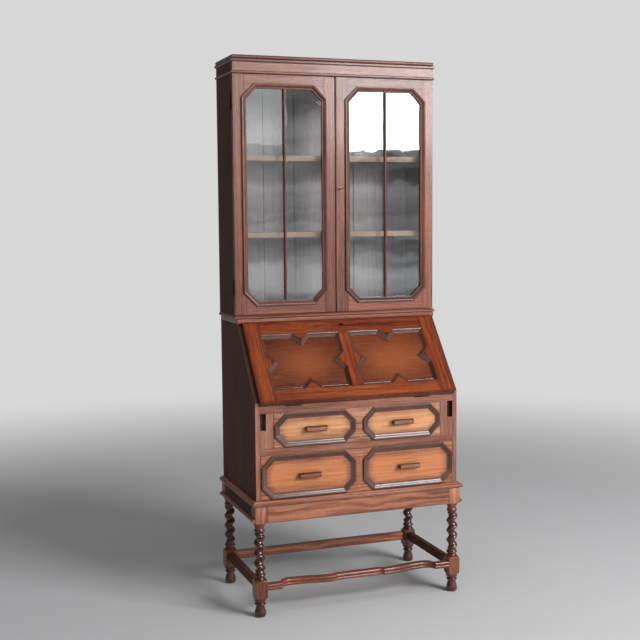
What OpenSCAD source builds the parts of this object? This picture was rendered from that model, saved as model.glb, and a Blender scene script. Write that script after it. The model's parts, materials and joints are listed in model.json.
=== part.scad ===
// Bureau bookcase: a glazed case on a slant-front bureau, on a stand with twist-turned legs.
// Millimetres, +Z up, front facing -Y. The origin is on the floor, in the middle of the whole piece.

/* [Overall] */
// Width of the bureau's carcass
body_w = 786; // [650:1:1000]
// Depth of both carcasses behind the plane of the drawer fronts, without the back boards
body_d = 430; // [350:1:540]
// Height of the stand, from the floor to the bureau's underside
stand_h = 421; // [340:1:520]
// Height of the desk space, from the writing bed to the bureau's top face
desk_h = 291; // [240:1:350]
// Height of the bookcase with its cornice
case_h = 952; // [790:1:1150]

/* [Boards] */
// Thickness of the sides of both carcasses
side_t = 18; // [14:0.5:25]
// Thickness of the bureau's bottom board
bottom_t = 12; // [8:0.5:20]
// Thickness of the bureau's top board
top_t = 18; // [12:0.5:25]
// Thickness of the back boards
back_t = 8; // [5:0.5:14]
// Gap left between boards that are glued into one piece of work
glue_gap = 0.2; // [0.1:0.05:0.4]

/* [Stand] */
// How far the stand's sides stand out beyond the bureau's sides
stand_out = 9; // [0:0.5:20]
// How far the stand's front stands out beyond the bureau's front
stand_front_out = 12; // [0:0.5:20]
// Height of the stand's frieze rails
frieze_h = 62; // [40:1:90]
// Thickness of the frieze rails
frieze_t = 22; // [15:0.5:30]
// Height of the moulding on top of the stand
stand_moulding_h = 17; // [10:0.5:25]
// How far that moulding stands out beyond the frieze
stand_moulding_out = 9; // [4:0.5:12]
// Height of the bead along the bottom of the stand's sides
side_bead_h = 15; // [8:0.5:20]
// How far that bead stands out
side_bead_out = 9.5; // [4:0.5:12]
// Gap from the underside of the frieze to the bead
side_bead_up = 4; // [0:0.5:15]

/* [Legs] */
// Thickness of the square stock of a leg
leg_t = 45; // [38:0.5:55]
// Height of the pear-shaped foot
foot_h = 44; // [35:1:60]
// Height of the turned rings above the foot
ring_h = 23; // [18:0.5:30]
// Height of the square block that takes the stretchers
block_h = 68; // [60:1:90]
// Height of the turned collar under the twist
collar_h = 28; // [22:0.5:36]
// Height of the turned cup above the twist
cup_h = 36; // [28:0.5:46]
// Rise of one turn of the twist
twist_pitch = 37.5; // [30:0.5:50]
// Radius of the round section that winds up the leg
twist_r = 16.5; // [13:0.1:18]
// How far the middle of that section stays off the leg's axis
twist_throw = 4.5; // [2:0.1:6]
// Direction of the twist's bulge at its foot on the two left legs, in degrees
twist_phase_left = 110; // [0:1:360]
// The same on the two right legs, seen as a mirror image
twist_phase_right = 347; // [0:1:360]

/* [Stretchers] */
// Height of the front stretcher
front_stretcher_h = 24; // [18:1:40]
// Height of the stretchers' middle above the middle of the legs' blocks
stretcher_up = 8; // [0:0.5:8]
// Height of the side and back stretchers
stretcher_h = 32; // [20:1:45]
// Thickness of the side and back stretchers
stretcher_t = 20; // [14:0.5:28]
// Front to back size of the serpentine front stretcher
serpentine_t = 24; // [18:0.5:34]
// Straight stub of the front stretcher beside each leg
serpentine_stub = 55; // [20:1:70]
// Half length of its straight middle
serpentine_middle = 76; // [50:1:100]
// Length of the hollow between the middle and the forward point
serpentine_nose = 22; // [10:1:30]
// Length of the steep hollow beside the stub
serpentine_hollow = 40; // [20:1:50]
// How far the middle lies behind the stub's face
middle_back = 17; // [0:0.5:25]
// How far the forward points lie behind the stub's face
nose_back = 9; // [0:0.5:20]
// How far the deepest part lies behind the stub's face
swing_back = 28; // [10:0.5:35]

/* [Drawers] */
// Height of the lower drawer's opening
lower_open_h = 161; // [120:1:200]
// Height of the upper drawer's opening
upper_open_h = 126; // [105:1:160]
// Height of the rail between the drawers
drawer_rail_h = 23; // [15:0.5:35]
// Height of the rail under the writing bed
bed_rail_h = 25.6; // [25.6:0.1:36]
// Front to back size of the front rails
rail_d = 60; // [40:1:90]
// Thickness of a drawer front
drawer_front_t = 20; // [14:0.5:26]
// Gap under a drawer's sides
slide_gap = 0.3; // [0.2:0.05:1]
// Gap round a drawer front
drawer_gap = 0.8; // [0.5:0.1:2]
// Thickness of a drawer's sides and back
drawer_side_t = 10; // [7:0.5:14]
// Thickness of a drawer's bottom
drawer_bottom_t = 6; // [4:0.5:9]
// Gap between a drawer and the back boards
drawer_back_gap = 14; // [5:1:40]
// Height of a drawer's sides below the top of its opening
drawer_side_drop = 18; // [8:1:40]
// Length of a bar pull
pull_l = 80; // [50:1:120]
// Height of a bar pull
pull_h = 22; // [16:0.5:30]
// How far a bar pull stands out
pull_out = 24; // [16:0.5:26]

/* [Mouldings] */
// Width of the drawer mouldings
drawer_moulding_w = 20; // [12:0.5:26]
// How far the drawer mouldings stand out
drawer_moulding_out = 8; // [4:0.5:12]
// Length cut off the corners of the drawers' octagons
drawer_cut = 40; // [15:1:45]
// Gap between the two octagons of a drawer
octagon_gap = 30; // [10:1:60]
// Edge of the drawer front left outside an octagon
octagon_edge = 2; // [0.5:0.5:10]
// Width of the door mouldings
door_moulding_w = 19; // [12:0.5:26]
// How far the door mouldings stand out
door_moulding_out = 7; // [4:0.5:12]
// Length cut off the corners of the doors' octagons
door_cut = 50; // [20:1:90]
// Width of the fall's mouldings
fall_moulding_w = 16; // [10:0.5:24]
// How far the fall's mouldings stand out beyond its frame
fall_moulding_out = 1; // [0:0.25:1]
// Half width of the notches in the fall's panels
notch_half = 30; // [10:1:40]
// Depth of the notches in the fall's panels
notch_d = 30; // [10:1:40]

/* [Fall and lopers] */
// Angle of the closed fall above level, in degrees
slope = 51; // [48:0.5:58]
// Thickness of the fall
fall_t = 25; // [20:0.5:25]
// Part of that thickness which fits between the sides
fall_inner_t = 8; // [4:0.5:12]
// How far the fall laps over each side's edge
fall_lap = 3.5; // [2:0.5:10]
// Gap at each end of the fall's inner part
fall_gap = 1; // [0.5:0.25:3]
// Width of the fall's stiles
fall_stile_w = 54; // [40:1:75]
// Width of the fall's top rail
fall_top_w = 54; // [45:1:75]
// Width of the fall's bottom rail
fall_bottom_w = 47; // [40:1:70]
// Width of the fall's middle muntin
fall_muntin_w = 35; // [25:1:60]
// Thickness of the fall's panels
fall_panel_t = 8; // [5:0.5:10]
// Depth of those panels behind the inner face
fall_panel_in = 6; // [2:0.5:8]
// Distance of the fall's pins in front of the bureau's front
pin_front = 0.6; // [0.5:0.1:1.5]
// Gap from the bureau's top board to the fall's top corner
fall_top_gap = 9; // [7:0.5:20]
// Gap between the fall's top edge and the strip above it
fall_end_gap = 1.5; // [1.5:0.5:3]
// Width of a loper
loper_w = 21; // [15:0.5:30]
// Height of a loper
loper_h = 60; // [40:1:80]
// Length of a loper
loper_l = 370; // [300:1:400]
// How far a closed loper lies behind the front
loper_in = 16; // [5:1:30]
// Width of the stile between a loper and the drawer
loper_stile_w = 28; // [18:1:45]
// Gap round a loper
loper_gap = 0.4; // [0.2:0.1:1]

/* [Pigeonholes] */
// Depth of the pigeonholes
pigeon_d = 140; // [100:1:180]
// Height of the pigeonholes
pigeon_h = 190; // [120:1:200]
// Thickness of their boards
pigeon_t = 8; // [5:0.5:12]
// Number of upright dividers
pigeon_dividers = 4; // [2:1:6]

/* [Bookcase] */
// How far each side of the bookcase stands out beyond the bureau's side
case_out = 3.5; // [0:0.5:10]
// Depth from the front of the drawers back to the front of the doors
door_back = 216; // [190:1:216]
// Thickness of the doors
door_t = 20; // [16:0.5:26]
// Gap between the doors and the carcass, where the hinge leaves lie
leaf_gap = 3; // [3:0.1:4]
// Gap between the two doors
meeting_gap = 3; // [2:0.5:6]
// How far to the left of the middle the doors meet
meeting_left = 4; // [0:0.5:20]
// Width of the doors' stiles outside the moulding
door_stile_w = 31.5; // [25:0.5:50]
// Width of the right door's meeting stile
lock_stile_w = 38; // [30:0.5:60]
// Width of the doors' rails outside the moulding
door_rail_w = 31; // [25:0.5:60]
// How far the doors' stiles and rails reach in under the moulding
under_moulding = 10; // [6:0.5:11]
// Gap above and below the doors
door_end_gap = 2; // [1:0.5:4]
// Thickness of the glass
glass_t = 3; // [2:0.5:4]
// Depth of the glass behind the doors' faces
glass_in = 8; // [6:0.5:10]
// Gap round the glass
glass_edge_gap = 0.4; // [0.3:0.1:1]
// Width of the glazing bars
bar_w = 11; // [8:0.5:16]
// Height of the moulding under the doors
base_moulding_h = 12; // [8:0.5:20]
// How far that moulding stands out beyond the doors
base_moulding_out = 8; // [3:0.5:9]
// How far it stands out beyond the sides
base_moulding_side = 6; // [3:0.5:10]
// Thickness of the bookcase's bottom board
case_bottom_t = 18; // [12:0.5:25]
// Thickness of the shelves
shelf_t = 20; // [14:0.5:28]
// Height of the upper shelf's face above the bookcase's foot
upper_shelf_up = 597; // [500:1:700]
// Height of the lower shelf's face above the bookcase's foot
lower_shelf_up = 314; // [200:1:400]
// Gap in front of the shelves
shelf_in = 14; // [5:1:40]
// Gap at each end of a shelf
shelf_gap = 1; // [0.5:0.25:3]
// Thickness of the battens that carry the shelves
batten_t = 12; // [8:0.5:18]
// Height of those battens
batten_h = 18; // [12:0.5:28]
// Width of the middle one of the three back boards
back_board_w = 248; // [180:1:300]
// How far the middle back board lies to the right of the middle
back_board_right = 30; // [0:1:40]

/* [Cornice] */
// Height of the cornice
cornice_h = 66; // [50:1:90]
// Thickness of its rounded top board
crown_t = 14; // [10:0.5:20]
// How far the top board stands out beyond the frieze
crown_out = 3; // [0.5:0.5:8]
// Height of the fillet under the top board
fillet_h = 11; // [6:0.5:16]
// How far the fillet stands out
fillet_out = 6; // [3:0.5:10]
// Height of the bead at the foot of the frieze
bead_h = 10; // [6:0.5:14]
// How far that bead stands out
bead_out = 5; // [3:0.5:8]

/* [Hinges and locks] */
// Length of a hinge
hinge_l = 60; // [45:1:80]
// Radius of a hinge's knuckle
knuckle_r = 3.2; // [2.8:0.1:3.5]
// Radius of a hinge's pin
hinge_pin_r = 1.4; // [1:0.1:1.6]
// Running gap round a hinge's pin
pin_gap = 0.05; // [0.02:0.01:0.08]
// Gap at each end of the middle knuckle
knuckle_gap = 0.4; // [0.2:0.1:1]
// Gap cut in the wood round a knuckle
knuckle_room = 0.5; // [0.3:0.1:1.5]
// Thickness of a hinge leaf
leaf_t = 1.3; // [1:0.1:1.4]
// Width of a hinge leaf
leaf_w = 13; // [9:0.5:13]
// Distance of a door hinge's middle from the door's end
door_hinge_in = 98; // [60:1:160]
// Distance of the fall's hinges from the middle
fall_hinge_x = 250; // [120:1:260]
// Radius of a lock's escutcheon
escutcheon_r = 7; // [5:0.5:9]
// Thickness of an escutcheon
escutcheon_t = 1.2; // [0.8:0.1:2]
// Width of the door lock's case
lock_case_w = 24; // [20:0.5:30]
// Thickness of the door lock's case
lock_case_t = 10; // [7:0.5:12]
// Height of the door lock's case
lock_case_h = 60; // [40:1:80]
// Width of the fall lock's case
fall_lock_w = 56; // [40:1:80]
// Height of the fall lock's case
fall_lock_h = 34; // [30:1:40]
// Thickness of the fall lock's case
fall_lock_t = 9; // [6:0.5:12]
// Distance of the fall's keyhole from its top edge
fall_key_down = 26; // [18:1:30]
// Radius of the key's shank
key_r = 2; // [1.5:0.1:2.4]
// Running gap round the key
key_gap = 0.3; // [0.1:0.05:0.5]
// Radius of the key's bow
key_bow_r = 8; // [6:0.5:9]
// Thickness of the key's bow
key_bow_t = 2.4; // [1.5:0.1:3.5]
// How far the key stands out of the door
key_out = 22; // [18:0.5:24]
// Height of the keyhole above the bookcase's foot
key_up = 474; // [300:1:700]

/* [Hidden] */

// Colours
oak = "#8a5a3c";
dark_oak = "#5a3424";
red_oak = "#9a4a24";
honey_oak = "#c08a55";
pale_oak = "#b59a80";
brass = "#b09048";
iron = "#3a3632";
$fn = 48;

// Heights above the floor
frieze_top = stand_h - stand_moulding_h;
frieze_bottom = frieze_top - frieze_h;
lower_top = stand_h + lower_open_h;
upper_bottom = lower_top + drawer_rail_h;
upper_top = upper_bottom + upper_open_h;
bed_top = upper_top + bed_rail_h;
bureau_top_z = bed_top + desk_h;
top_under = bureau_top_z - top_t;
total_h = bureau_top_z + case_h;
cornice_bottom = total_h - cornice_h;
crown_under = total_h - crown_t;

// Half widths
body_x = body_w / 2;
inner_x = body_x - side_t;
stand_x = body_x + stand_out;
case_x = body_x + case_out;
case_inner_x = case_x - side_t;
slot_x = inner_x - loper_w - 2 * loper_gap;
upper_open_x = slot_x - loper_stile_w;

// Places front to back, from the plane of the drawer fronts
stand_front = -stand_front_out;
leg_x = stand_x - leg_t / 2;
leg_front_y = stand_front + leg_t / 2;
leg_back_y = body_d - leg_t / 2;
back_y = body_d + back_t;
front_reach = max(pull_out, stand_front_out + stand_moulding_out);
origin_shift = [0, (front_reach - back_y) / 2, 0];
door_rear = door_back + door_t;
case_front = door_rear + leaf_gap;
top_front = door_back - 2 * base_moulding_out;

// The slanted part, in a plane that starts at the fall's hinge pins
slope_along = [cos(slope), sin(slope)];
slope_out = [-sin(slope), cos(slope)];
pins = [-pin_front, bed_top];
fall_l = (top_under - fall_top_gap - bed_top) / sin(slope);
fall_x = inner_x + fall_lap;
side_slope_z = bed_top + (fall_inner_t + pin_front * sin(slope)) / cos(slope);
side_slope_y = (top_under - side_slope_z) / tan(slope);
fall_end = pins + (fall_l + fall_end_gap) * slope_along;
function on_fall_end_y(y) = fall_end + slope_out * (fall_end[0] - y) / sin(slope);
function on_fall_end_z(z) = fall_end + slope_out * (z - fall_end[1]) / cos(slope);

// Loper slots
loper_top = upper_top - loper_gap;
loper_bottom = loper_top - loper_h;
slot_bottom = loper_bottom - loper_gap;

// Legs
rings_z = foot_h;
block_z = rings_z + ring_h;
collar_z = block_z + block_h;
twist_z = collar_z + collar_h;
cup_z = frieze_bottom - cup_h;
twist_l = cup_z - twist_z;
stretcher_mid_z = block_z + block_h / 2 + stretcher_up;
twist_sides = 18;
twist_steps_per_turn = 10;
shoulder_r = 21.8;
shoulder_h = 11;

round_steps = 8;

// Doors
door_z0 = bureau_top_z + base_moulding_h + door_end_gap;
door_z1 = cornice_bottom - door_end_gap;
meeting_x = -meeting_left;
left_door_x = [-case_x, meeting_x - meeting_gap / 2];
right_door_x = [meeting_x + meeting_gap / 2, case_x];
door_hinge_y = door_rear + leaf_gap / 2;
door_hinge_z = [door_z0 + door_hinge_in, door_z1 - door_hinge_in];
key_x = right_door_x[0] + lock_stile_w / 2;
key_z = bureau_top_z + key_up;
lock_case = [lock_case_w, lock_case_t, lock_case_h];

// Outlines
function unit(v) = v / norm(v);
function left_of(v) = [-v[1], v[0]];
function inset(p, d) = [for (i = [0:len(p) - 1])
    let (n = len(p), a = left_of(unit(p[i] - p[(i + n - 1) % n])),
        b = left_of(unit(p[(i + 1) % n] - p[i])))
    p[i] + d * (a + b) / (1 + a * b)];
function octagon(x, z, c) = [
    [x[0] + c, z[0]], [x[1] - c, z[0]], [x[1], z[0] + c], [x[1], z[1] - c],
    [x[1] - c, z[1]], [x[0] + c, z[1]], [x[0], z[1] - c], [x[0], z[0] + c]];
// A rectangle with a V notch in the middle of each side
function notched(x, z, h, d) = let (mx = (x[0] + x[1]) / 2, mz = (z[0] + z[1]) / 2) [
    [x[0], z[0]], [mx - h, z[0]], [mx, z[0] + d], [mx + h, z[0]],
    [x[1], z[0]], [x[1], mz - h], [x[1] - d, mz], [x[1], mz + h],
    [x[1], z[1]], [mx + h, z[1]], [mx, z[1] - d], [mx - h, z[1]],
    [x[0], z[1]], [x[0], mz + h], [x[0] + d, mz], [x[0], mz - h]];

// Drawer fronts
lower_front_x = inner_x - drawer_gap;
upper_front_x = upper_open_x - drawer_gap;
function drawer_octagon(half, z) = octagon(
    [octagon_gap / 2, half - octagon_edge], [z[0] + octagon_edge, z[1] - octagon_edge], drawer_cut);
lower_front_z = [stand_h + drawer_gap, lower_top - drawer_gap];
upper_front_z = [upper_bottom + drawer_gap, upper_top - drawer_gap];

// Fall, measured along its slope
fall_panel_x = [fall_muntin_w / 2, fall_x - fall_stile_w];
fall_panel_s = [fall_bottom_w, fall_l - fall_top_w];
fall_panel_face = fall_panel_in + fall_panel_t;

module board(x, y, z) {
    translate([x[0], y[0], z[0]]) cube([x[1] - x[0], y[1] - y[0], z[1] - z[0]]);
}
// A shape drawn in Y and Z, extruded along X
module along_x(x) {
    translate([x[0], 0, 0]) rotate([90, 0, 90]) linear_extrude(x[1] - x[0]) children();
}
// A shape drawn in X and Z, extruded along Y
module along_y(y) {
    translate([0, y[1], 0]) rotate([90, 0, 0]) linear_extrude(y[1] - y[0]) children();
}
module both_sides() {
    children();
    mirror([1, 0, 0]) children();
}
// Everything inside is drawn along the fall: X across, Y up the slope, Z outwards
module on_slope() {
    translate([0, pins[0], pins[1]]) rotate([slope, 0, 0]) children();
}
module lathe(z, points) {
    translate([0, 0, z]) rotate_extrude() polygon(points);
}
// A slab with the same edge profile in front and at both sides, and a straight back.
// The profile's points are [out beyond the face, height], from the bottom up.
module rim(half, front, back, profile) {
    last = len(profile) - 1;
    span = half + 100;
    intersection() {
        along_x([-span, span]) polygon(concat([for (p = profile) [front - p[0], p[1]]],
            [[back, profile[last][1]], [back, profile[0][1]]]));
        along_y([front - 100, back]) polygon(concat([for (p = profile) [half + p[0], p[1]]],
            [for (i = [last:-1:0]) [-half - profile[i][0], profile[i][1]]]));
    }
}

module leg(phase) {
    lathe(0, [[0, 0], [15, 0], [19.5, 4], [21, 12], [20, 21], [16.5, 33], [15, 40],
        [15, foot_h], [0, foot_h]]);
    lathe(rings_z, [[0, 0], [18, 0], [20, ring_h * 0.15], [18, ring_h * 0.3],
        [15.5, ring_h * 0.38], [15.5, ring_h * 0.5], [21, ring_h * 0.6],
        [shoulder_r, ring_h], [0, ring_h]]);
    intersection() {
        translate([-leg_t / 2, -leg_t / 2, block_z]) cube([leg_t, leg_t, block_h]);
        lathe(block_z, [[0, 0], [shoulder_r, 0], [leg_t * 0.75, shoulder_h],
            [leg_t * 0.75, block_h - shoulder_h], [shoulder_r, block_h], [0, block_h]]);
    }
    lathe(collar_z, [[0, 0], [19.5, 0], [20, collar_h * 0.15], [16, collar_h * 0.33],
        [16, collar_h * 0.42], [20, collar_h * 0.5], [20.5, collar_h * 0.62],
        [19, collar_h * 0.75], [16.5, collar_h * 0.84], [16.5, collar_h], [0, collar_h]]);
    twist(phase);
    lathe(cup_z, [[0, 0], [16.5, 0], [16.5, cup_h * 0.1], [19, cup_h * 0.17],
        [19, cup_h * 0.33], [16.5, cup_h * 0.4], [17.5, cup_h * 0.62], [20, cup_h * 0.82],
        [shoulder_r, cup_h], [0, cup_h]]);
    translate([-leg_t / 2, -leg_t / 2, frieze_bottom]) cube([leg_t, leg_t, frieze_h]);
}
// A round section off the leg's axis that winds up the leg
module twist(phase) {
    turns = twist_l / twist_pitch;
    translate([0, 0, twist_z]) rotate(phase)
        linear_extrude(height = twist_l, twist = 360 * turns, slices = ceil(turns * twist_steps_per_turn),
            segments = twist_sides)
            polygon([for (i = [0:twist_sides - 1]) let (a = 360 * i / twist_sides)
                [twist_throw + twist_r * cos(a), twist_r * sin(a)]]);
}
module leg_front_left() {
    color(dark_oak) translate([-leg_x, leg_front_y, 0]) leg(twist_phase_left);
}
module leg_front_right() {
    color(dark_oak) translate([leg_x, leg_front_y, 0]) mirror([1, 0, 0]) leg(twist_phase_right);
}
module leg_back_left() {
    color(dark_oak) translate([-leg_x, leg_back_y, 0]) mirror([0, 1, 0]) leg(twist_phase_left);
}
module leg_back_right() {
    color(dark_oak) translate([leg_x, leg_back_y, 0]) mirror([1, 0, 0]) mirror([0, 1, 0]) leg(twist_phase_right);
}

rail_x = stand_x - leg_t;
side_rail_y = [stand_front + leg_t, body_d - leg_t];
frieze_z = [frieze_bottom, frieze_top];
module stand_rail_front() {
    color(oak) board([-rail_x, rail_x], [stand_front, stand_front + frieze_t], frieze_z);
}
module stand_rail_back() {
    color(oak) board([-rail_x, rail_x], [body_d - frieze_t, body_d], frieze_z);
}
module stand_rails_side() {
    color(dark_oak) both_sides() board([stand_x - frieze_t, stand_x], side_rail_y, frieze_z);
}
module stand_mouldings() {
    color(oak) {
        z = [frieze_top - 1, stand_h + 1];
        reach = stand_x + stand_moulding_out + 1;
        front_edge = stand_front + leg_t;
        intersection() {
            rim(stand_x, stand_front, body_d, [[stand_moulding_out - 2, frieze_top],
                [stand_moulding_out, frieze_top + 3], [stand_moulding_out, frieze_top + 9],
                [stand_moulding_out - 8, stand_h]]);
            union() {
                board([-reach, reach], [stand_front - reach, front_edge], z);
                both_sides() board([inner_x, reach], [front_edge + glue_gap, body_d + 1], z);
                board([-inner_x + glue_gap, inner_x - glue_gap], [body_d - frieze_t, body_d + 1], z);
            }
        }
        both_sides() along_y([stand_front, body_d]) polygon([
            [stand_x, frieze_bottom + side_bead_up],
            [stand_x + side_bead_out * 0.6, frieze_bottom + side_bead_up],
            [stand_x + side_bead_out, frieze_bottom + side_bead_up + side_bead_h * 0.35],
            [stand_x + side_bead_out, frieze_bottom + side_bead_up + side_bead_h * 0.65],
            [stand_x, frieze_bottom + side_bead_up + side_bead_h]]);
    }
}

// Front stretcher: half of its front edge, from the middle to the leg
nose_x = serpentine_middle + serpentine_nose;
stub_x = rail_x - serpentine_stub;
hollow_x = stub_x - serpentine_hollow;
arc_steps = 8;
swing_steps = 16;
function quarter(u) = 1 - sqrt(1 - u * u);
serpentine_half = concat(
    [[0, middle_back]],
    [for (i = [0:arc_steps]) let (u = i / arc_steps)
        [serpentine_middle + serpentine_nose * u, middle_back + (nose_back - middle_back) * quarter(u)]],
    [for (i = [1:swing_steps]) let (u = i / swing_steps)
        [nose_x + (hollow_x - nose_x) * u,
            nose_back + (swing_back - nose_back) * (0.5 - 0.5 * cos(180 * u))]],
    [for (i = [1:arc_steps]) let (u = i / arc_steps)
        [hollow_x + serpentine_hollow * u, swing_back * (1 - quarter(u))]],
    [[rail_x, 0]]);
serpentine = concat(
    [for (i = [len(serpentine_half) - 1:-1:1]) [-serpentine_half[i][0], serpentine_half[i][1]]],
    serpentine_half);
module stretcher_front() {
    last = len(serpentine) - 1;
    color(red_oak)
        translate([0, stand_front, stretcher_mid_z - front_stretcher_h / 2])
            linear_extrude(front_stretcher_h) polygon(concat(serpentine,
                [for (i = [last:-1:0]) [serpentine[i][0], serpentine[i][1] + serpentine_t]]));
}
stretcher_z = [stretcher_mid_z - stretcher_h / 2, stretcher_mid_z + stretcher_h / 2];
module stretcher_back() {
    color(red_oak) board([-rail_x, rail_x],
        [leg_back_y - stretcher_t / 2, leg_back_y + stretcher_t / 2], stretcher_z);
}
module stretchers_side() {
    color(dark_oak) both_sides()
        board([leg_x - stretcher_t / 2, leg_x + stretcher_t / 2], side_rail_y, stretcher_z);
}

module bureau_side(x) {
    along_x(x) polygon([[0, stand_h], [body_d, stand_h], [body_d, top_under],
        [side_slope_y, top_under], [0, side_slope_z]]);
}
module bureau_side_left() { color(dark_oak) bureau_side([-body_x, -inner_x]); }
module bureau_side_right() { color(dark_oak) bureau_side([inner_x, body_x]); }
module bureau_bottom() {
    color(pale_oak) board([-inner_x, inner_x], [drawer_front_t + 2, body_d], [stand_h, stand_h + bottom_t]);
}
// The top board laps over the sides; the strip under its front edge stops and locks the fall
module bureau_top() {
    color(red_oak) {
        along_x([-body_x, body_x]) difference() {
            polygon([[top_front, top_under], [body_d, top_under], [body_d, bureau_top_z],
                [top_front, bureau_top_z]]);
            polygon([on_fall_end_z(top_under - top_t), on_fall_end_z(bureau_top_z + top_t),
                [top_front - body_d, bureau_top_z + top_t], [top_front - body_d, top_under - top_t]]);
        }
        along_x([-inner_x, inner_x]) polygon([
            on_fall_end_z(top_under - glue_gap), fall_end,
            [fall_end[0] + top_t, fall_end[1]], [fall_end[0] + top_t, top_under - glue_gap]]);
    }
}
module bureau_back() {
    color(pale_oak) board([-body_x, body_x], [body_d, back_y], [stand_h, bureau_top_z]);
}
module writing_bed() {
    color(oak) board([-inner_x, inner_x], [rail_d, body_d], [bed_top - side_t, bed_top]);
}
module bed_rail() {
    color(oak) difference() {
        board([-inner_x, inner_x], [0, rail_d], [upper_top, bed_top]);
        both_sides() translate([fall_hinge_x, pins[0], pins[1]]) rotate([90, 0, 90]) mirror([0, 1, 0])
            hinge_room();
    }
}
slotted_stile = [[upper_open_x, upper_bottom], [inner_x, upper_bottom], [inner_x, slot_bottom],
    [slot_x, slot_bottom], [slot_x, upper_top], [upper_open_x, upper_top]];
module front_stiles() {
    color(oak) both_sides() along_y([0, rail_d]) polygon(slotted_stile);
}
module drawer_rail() {
    color(oak) board([-inner_x, inner_x], [0, rail_d], [lower_top, upper_bottom]);
}
// Each runner carries the upper drawer and guides it and the loper
module drawer_runners() {
    color(pale_oak) both_sides() along_y([rail_d, body_d]) polygon([
        [upper_open_x - side_t, lower_top], [inner_x, lower_top], [inner_x, slot_bottom],
        [slot_x, slot_bottom], [slot_x, upper_top], [upper_open_x, upper_top],
        [upper_open_x, upper_bottom], [upper_open_x - side_t, upper_bottom]]);
}
pigeon_y = [body_d - pigeon_d, body_d];
pigeon_bay = 2 * inner_x / (pigeon_dividers + 1);
module pigeonholes() {
    top = bed_top + pigeon_h;
    color(pale_oak) {
        board([-inner_x, inner_x], pigeon_y, [top - pigeon_t, top]);
        for (i = [1:pigeon_dividers]) {
            x = -inner_x + i * pigeon_bay;
            board([x - pigeon_t / 2, x + pigeon_t / 2], pigeon_y, [bed_top, top - pigeon_t - glue_gap]);
        }
    }
}

// One leaf of a hinge: the pin runs along Z, the leaf lies towards +X, its face at Y = off.
// The fixed leaf has the two outer knuckles and the pin, the moving one has the middle knuckle.
third = hinge_l / 3;
leaf_start = knuckle_r + knuckle_room + 0.1;
module hinge_leaf(off, moving) {
    zones = moving ? [[-third / 2 + knuckle_gap, third / 2 - knuckle_gap]]
        : [[-hinge_l / 2, -third / 2], [third / 2, hinge_l / 2]];
    difference() {
        union() {
            translate([leaf_start, off, -hinge_l / 2]) cube([leaf_w - leaf_start, leaf_t, hinge_l]);
            for (z = zones) translate([0, 0, z[0]]) {
                cylinder(r = knuckle_r, h = z[1] - z[0]);
                translate([0, off, 0]) cube([leaf_start + 1, leaf_t, z[1] - z[0]]);
            }
        }
        if (moving) translate([0, 0, -hinge_l])
            cylinder(r = hinge_pin_r + pin_gap, h = 2 * hinge_l);
    }
    if (!moving) translate([0, 0, -hinge_l / 2]) cylinder(r = hinge_pin_r, h = hinge_l);
}
// Room in the wood for the knuckles and, on the side of +Y, for a leaf let in flush
module hinge_room() {
    translate([0, 0, -hinge_l / 2 - knuckle_room])
        cylinder(r = knuckle_r + knuckle_room, h = hinge_l + 2 * knuckle_room);
    translate([0, 0, -hinge_l / 2 - knuckle_room])
        cube([leaf_w + knuckle_room, leaf_t + 0.1, hinge_l + 2 * knuckle_room]);
}
module fall_hinges_fixed() {
    color(brass) both_sides() translate([fall_hinge_x, pins[0], pins[1]]) rotate([90, 0, 90])
        hinge_leaf(-leaf_t, false);
}
module fall_hinges() {
    color(brass) both_sides() on_slope() translate([fall_hinge_x, 0, 0]) rotate([90, 0, 90])
        hinge_leaf(0, true);
}

// Fall: stiles and rails round two panels, with a wedge planted on the panel at each notch
module fall_member(x, s) {
    lap = fall_x;
    inside = inner_x - fall_gap;
    translate([0, 0, fall_inner_t]) linear_extrude(fall_t - fall_inner_t) intersection() {
        translate([x[0], s[0]]) square([x[1] - x[0], s[1] - s[0]]);
        translate([-lap, 0]) square([2 * lap, fall_l]);
    }
    linear_extrude(fall_inner_t) intersection() {
        translate([x[0], s[0]]) square([x[1] - x[0], s[1] - s[0]]);
        translate([-inside, 0]) square([2 * inside, fall_l]);
    }
}
module fall_wedges() {
    outline = notched(fall_panel_x, fall_panel_s, notch_half, notch_d);
    translate([0, 0, fall_panel_face + glue_gap]) linear_extrude(fall_t - fall_panel_face - glue_gap)
        for (i = [1, 5, 9, 13])
            polygon([outline[i], outline[i + 1], outline[i + 2]]);
}
module fall_frame() {
    color(red_oak) difference() {
        on_slope() {
            both_sides() {
                fall_member([fall_x - fall_stile_w, fall_x], [0, fall_l]);
                fall_wedges();
            }
            x = fall_x - fall_stile_w - glue_gap;
            fall_member([-x, x], [0, fall_bottom_w]);
            fall_member([-x, x], [fall_l - fall_top_w, fall_l]);
            fall_member([-fall_muntin_w / 2, fall_muntin_w / 2],
                [fall_bottom_w + glue_gap, fall_l - fall_top_w - glue_gap]);
        }
        on_slope() {
            both_sides() translate([fall_hinge_x, 0, 0]) rotate([90, 0, 90]) hinge_room();
            fall_lock_body(0.2);
            translate([0, fall_key_s, 0]) cylinder(r = key_r + key_gap, h = fall_t + 1);
        }
    }
}
module fall_panels() {
    color(honey_oak) on_slope() both_sides()
        translate([fall_panel_x[0] + glue_gap, fall_panel_s[0] + glue_gap, fall_panel_in])
            cube([fall_panel_x[1] - fall_panel_x[0] - 2 * glue_gap,
                fall_panel_s[1] - fall_panel_s[0] - 2 * glue_gap, fall_panel_t]);
}
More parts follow.
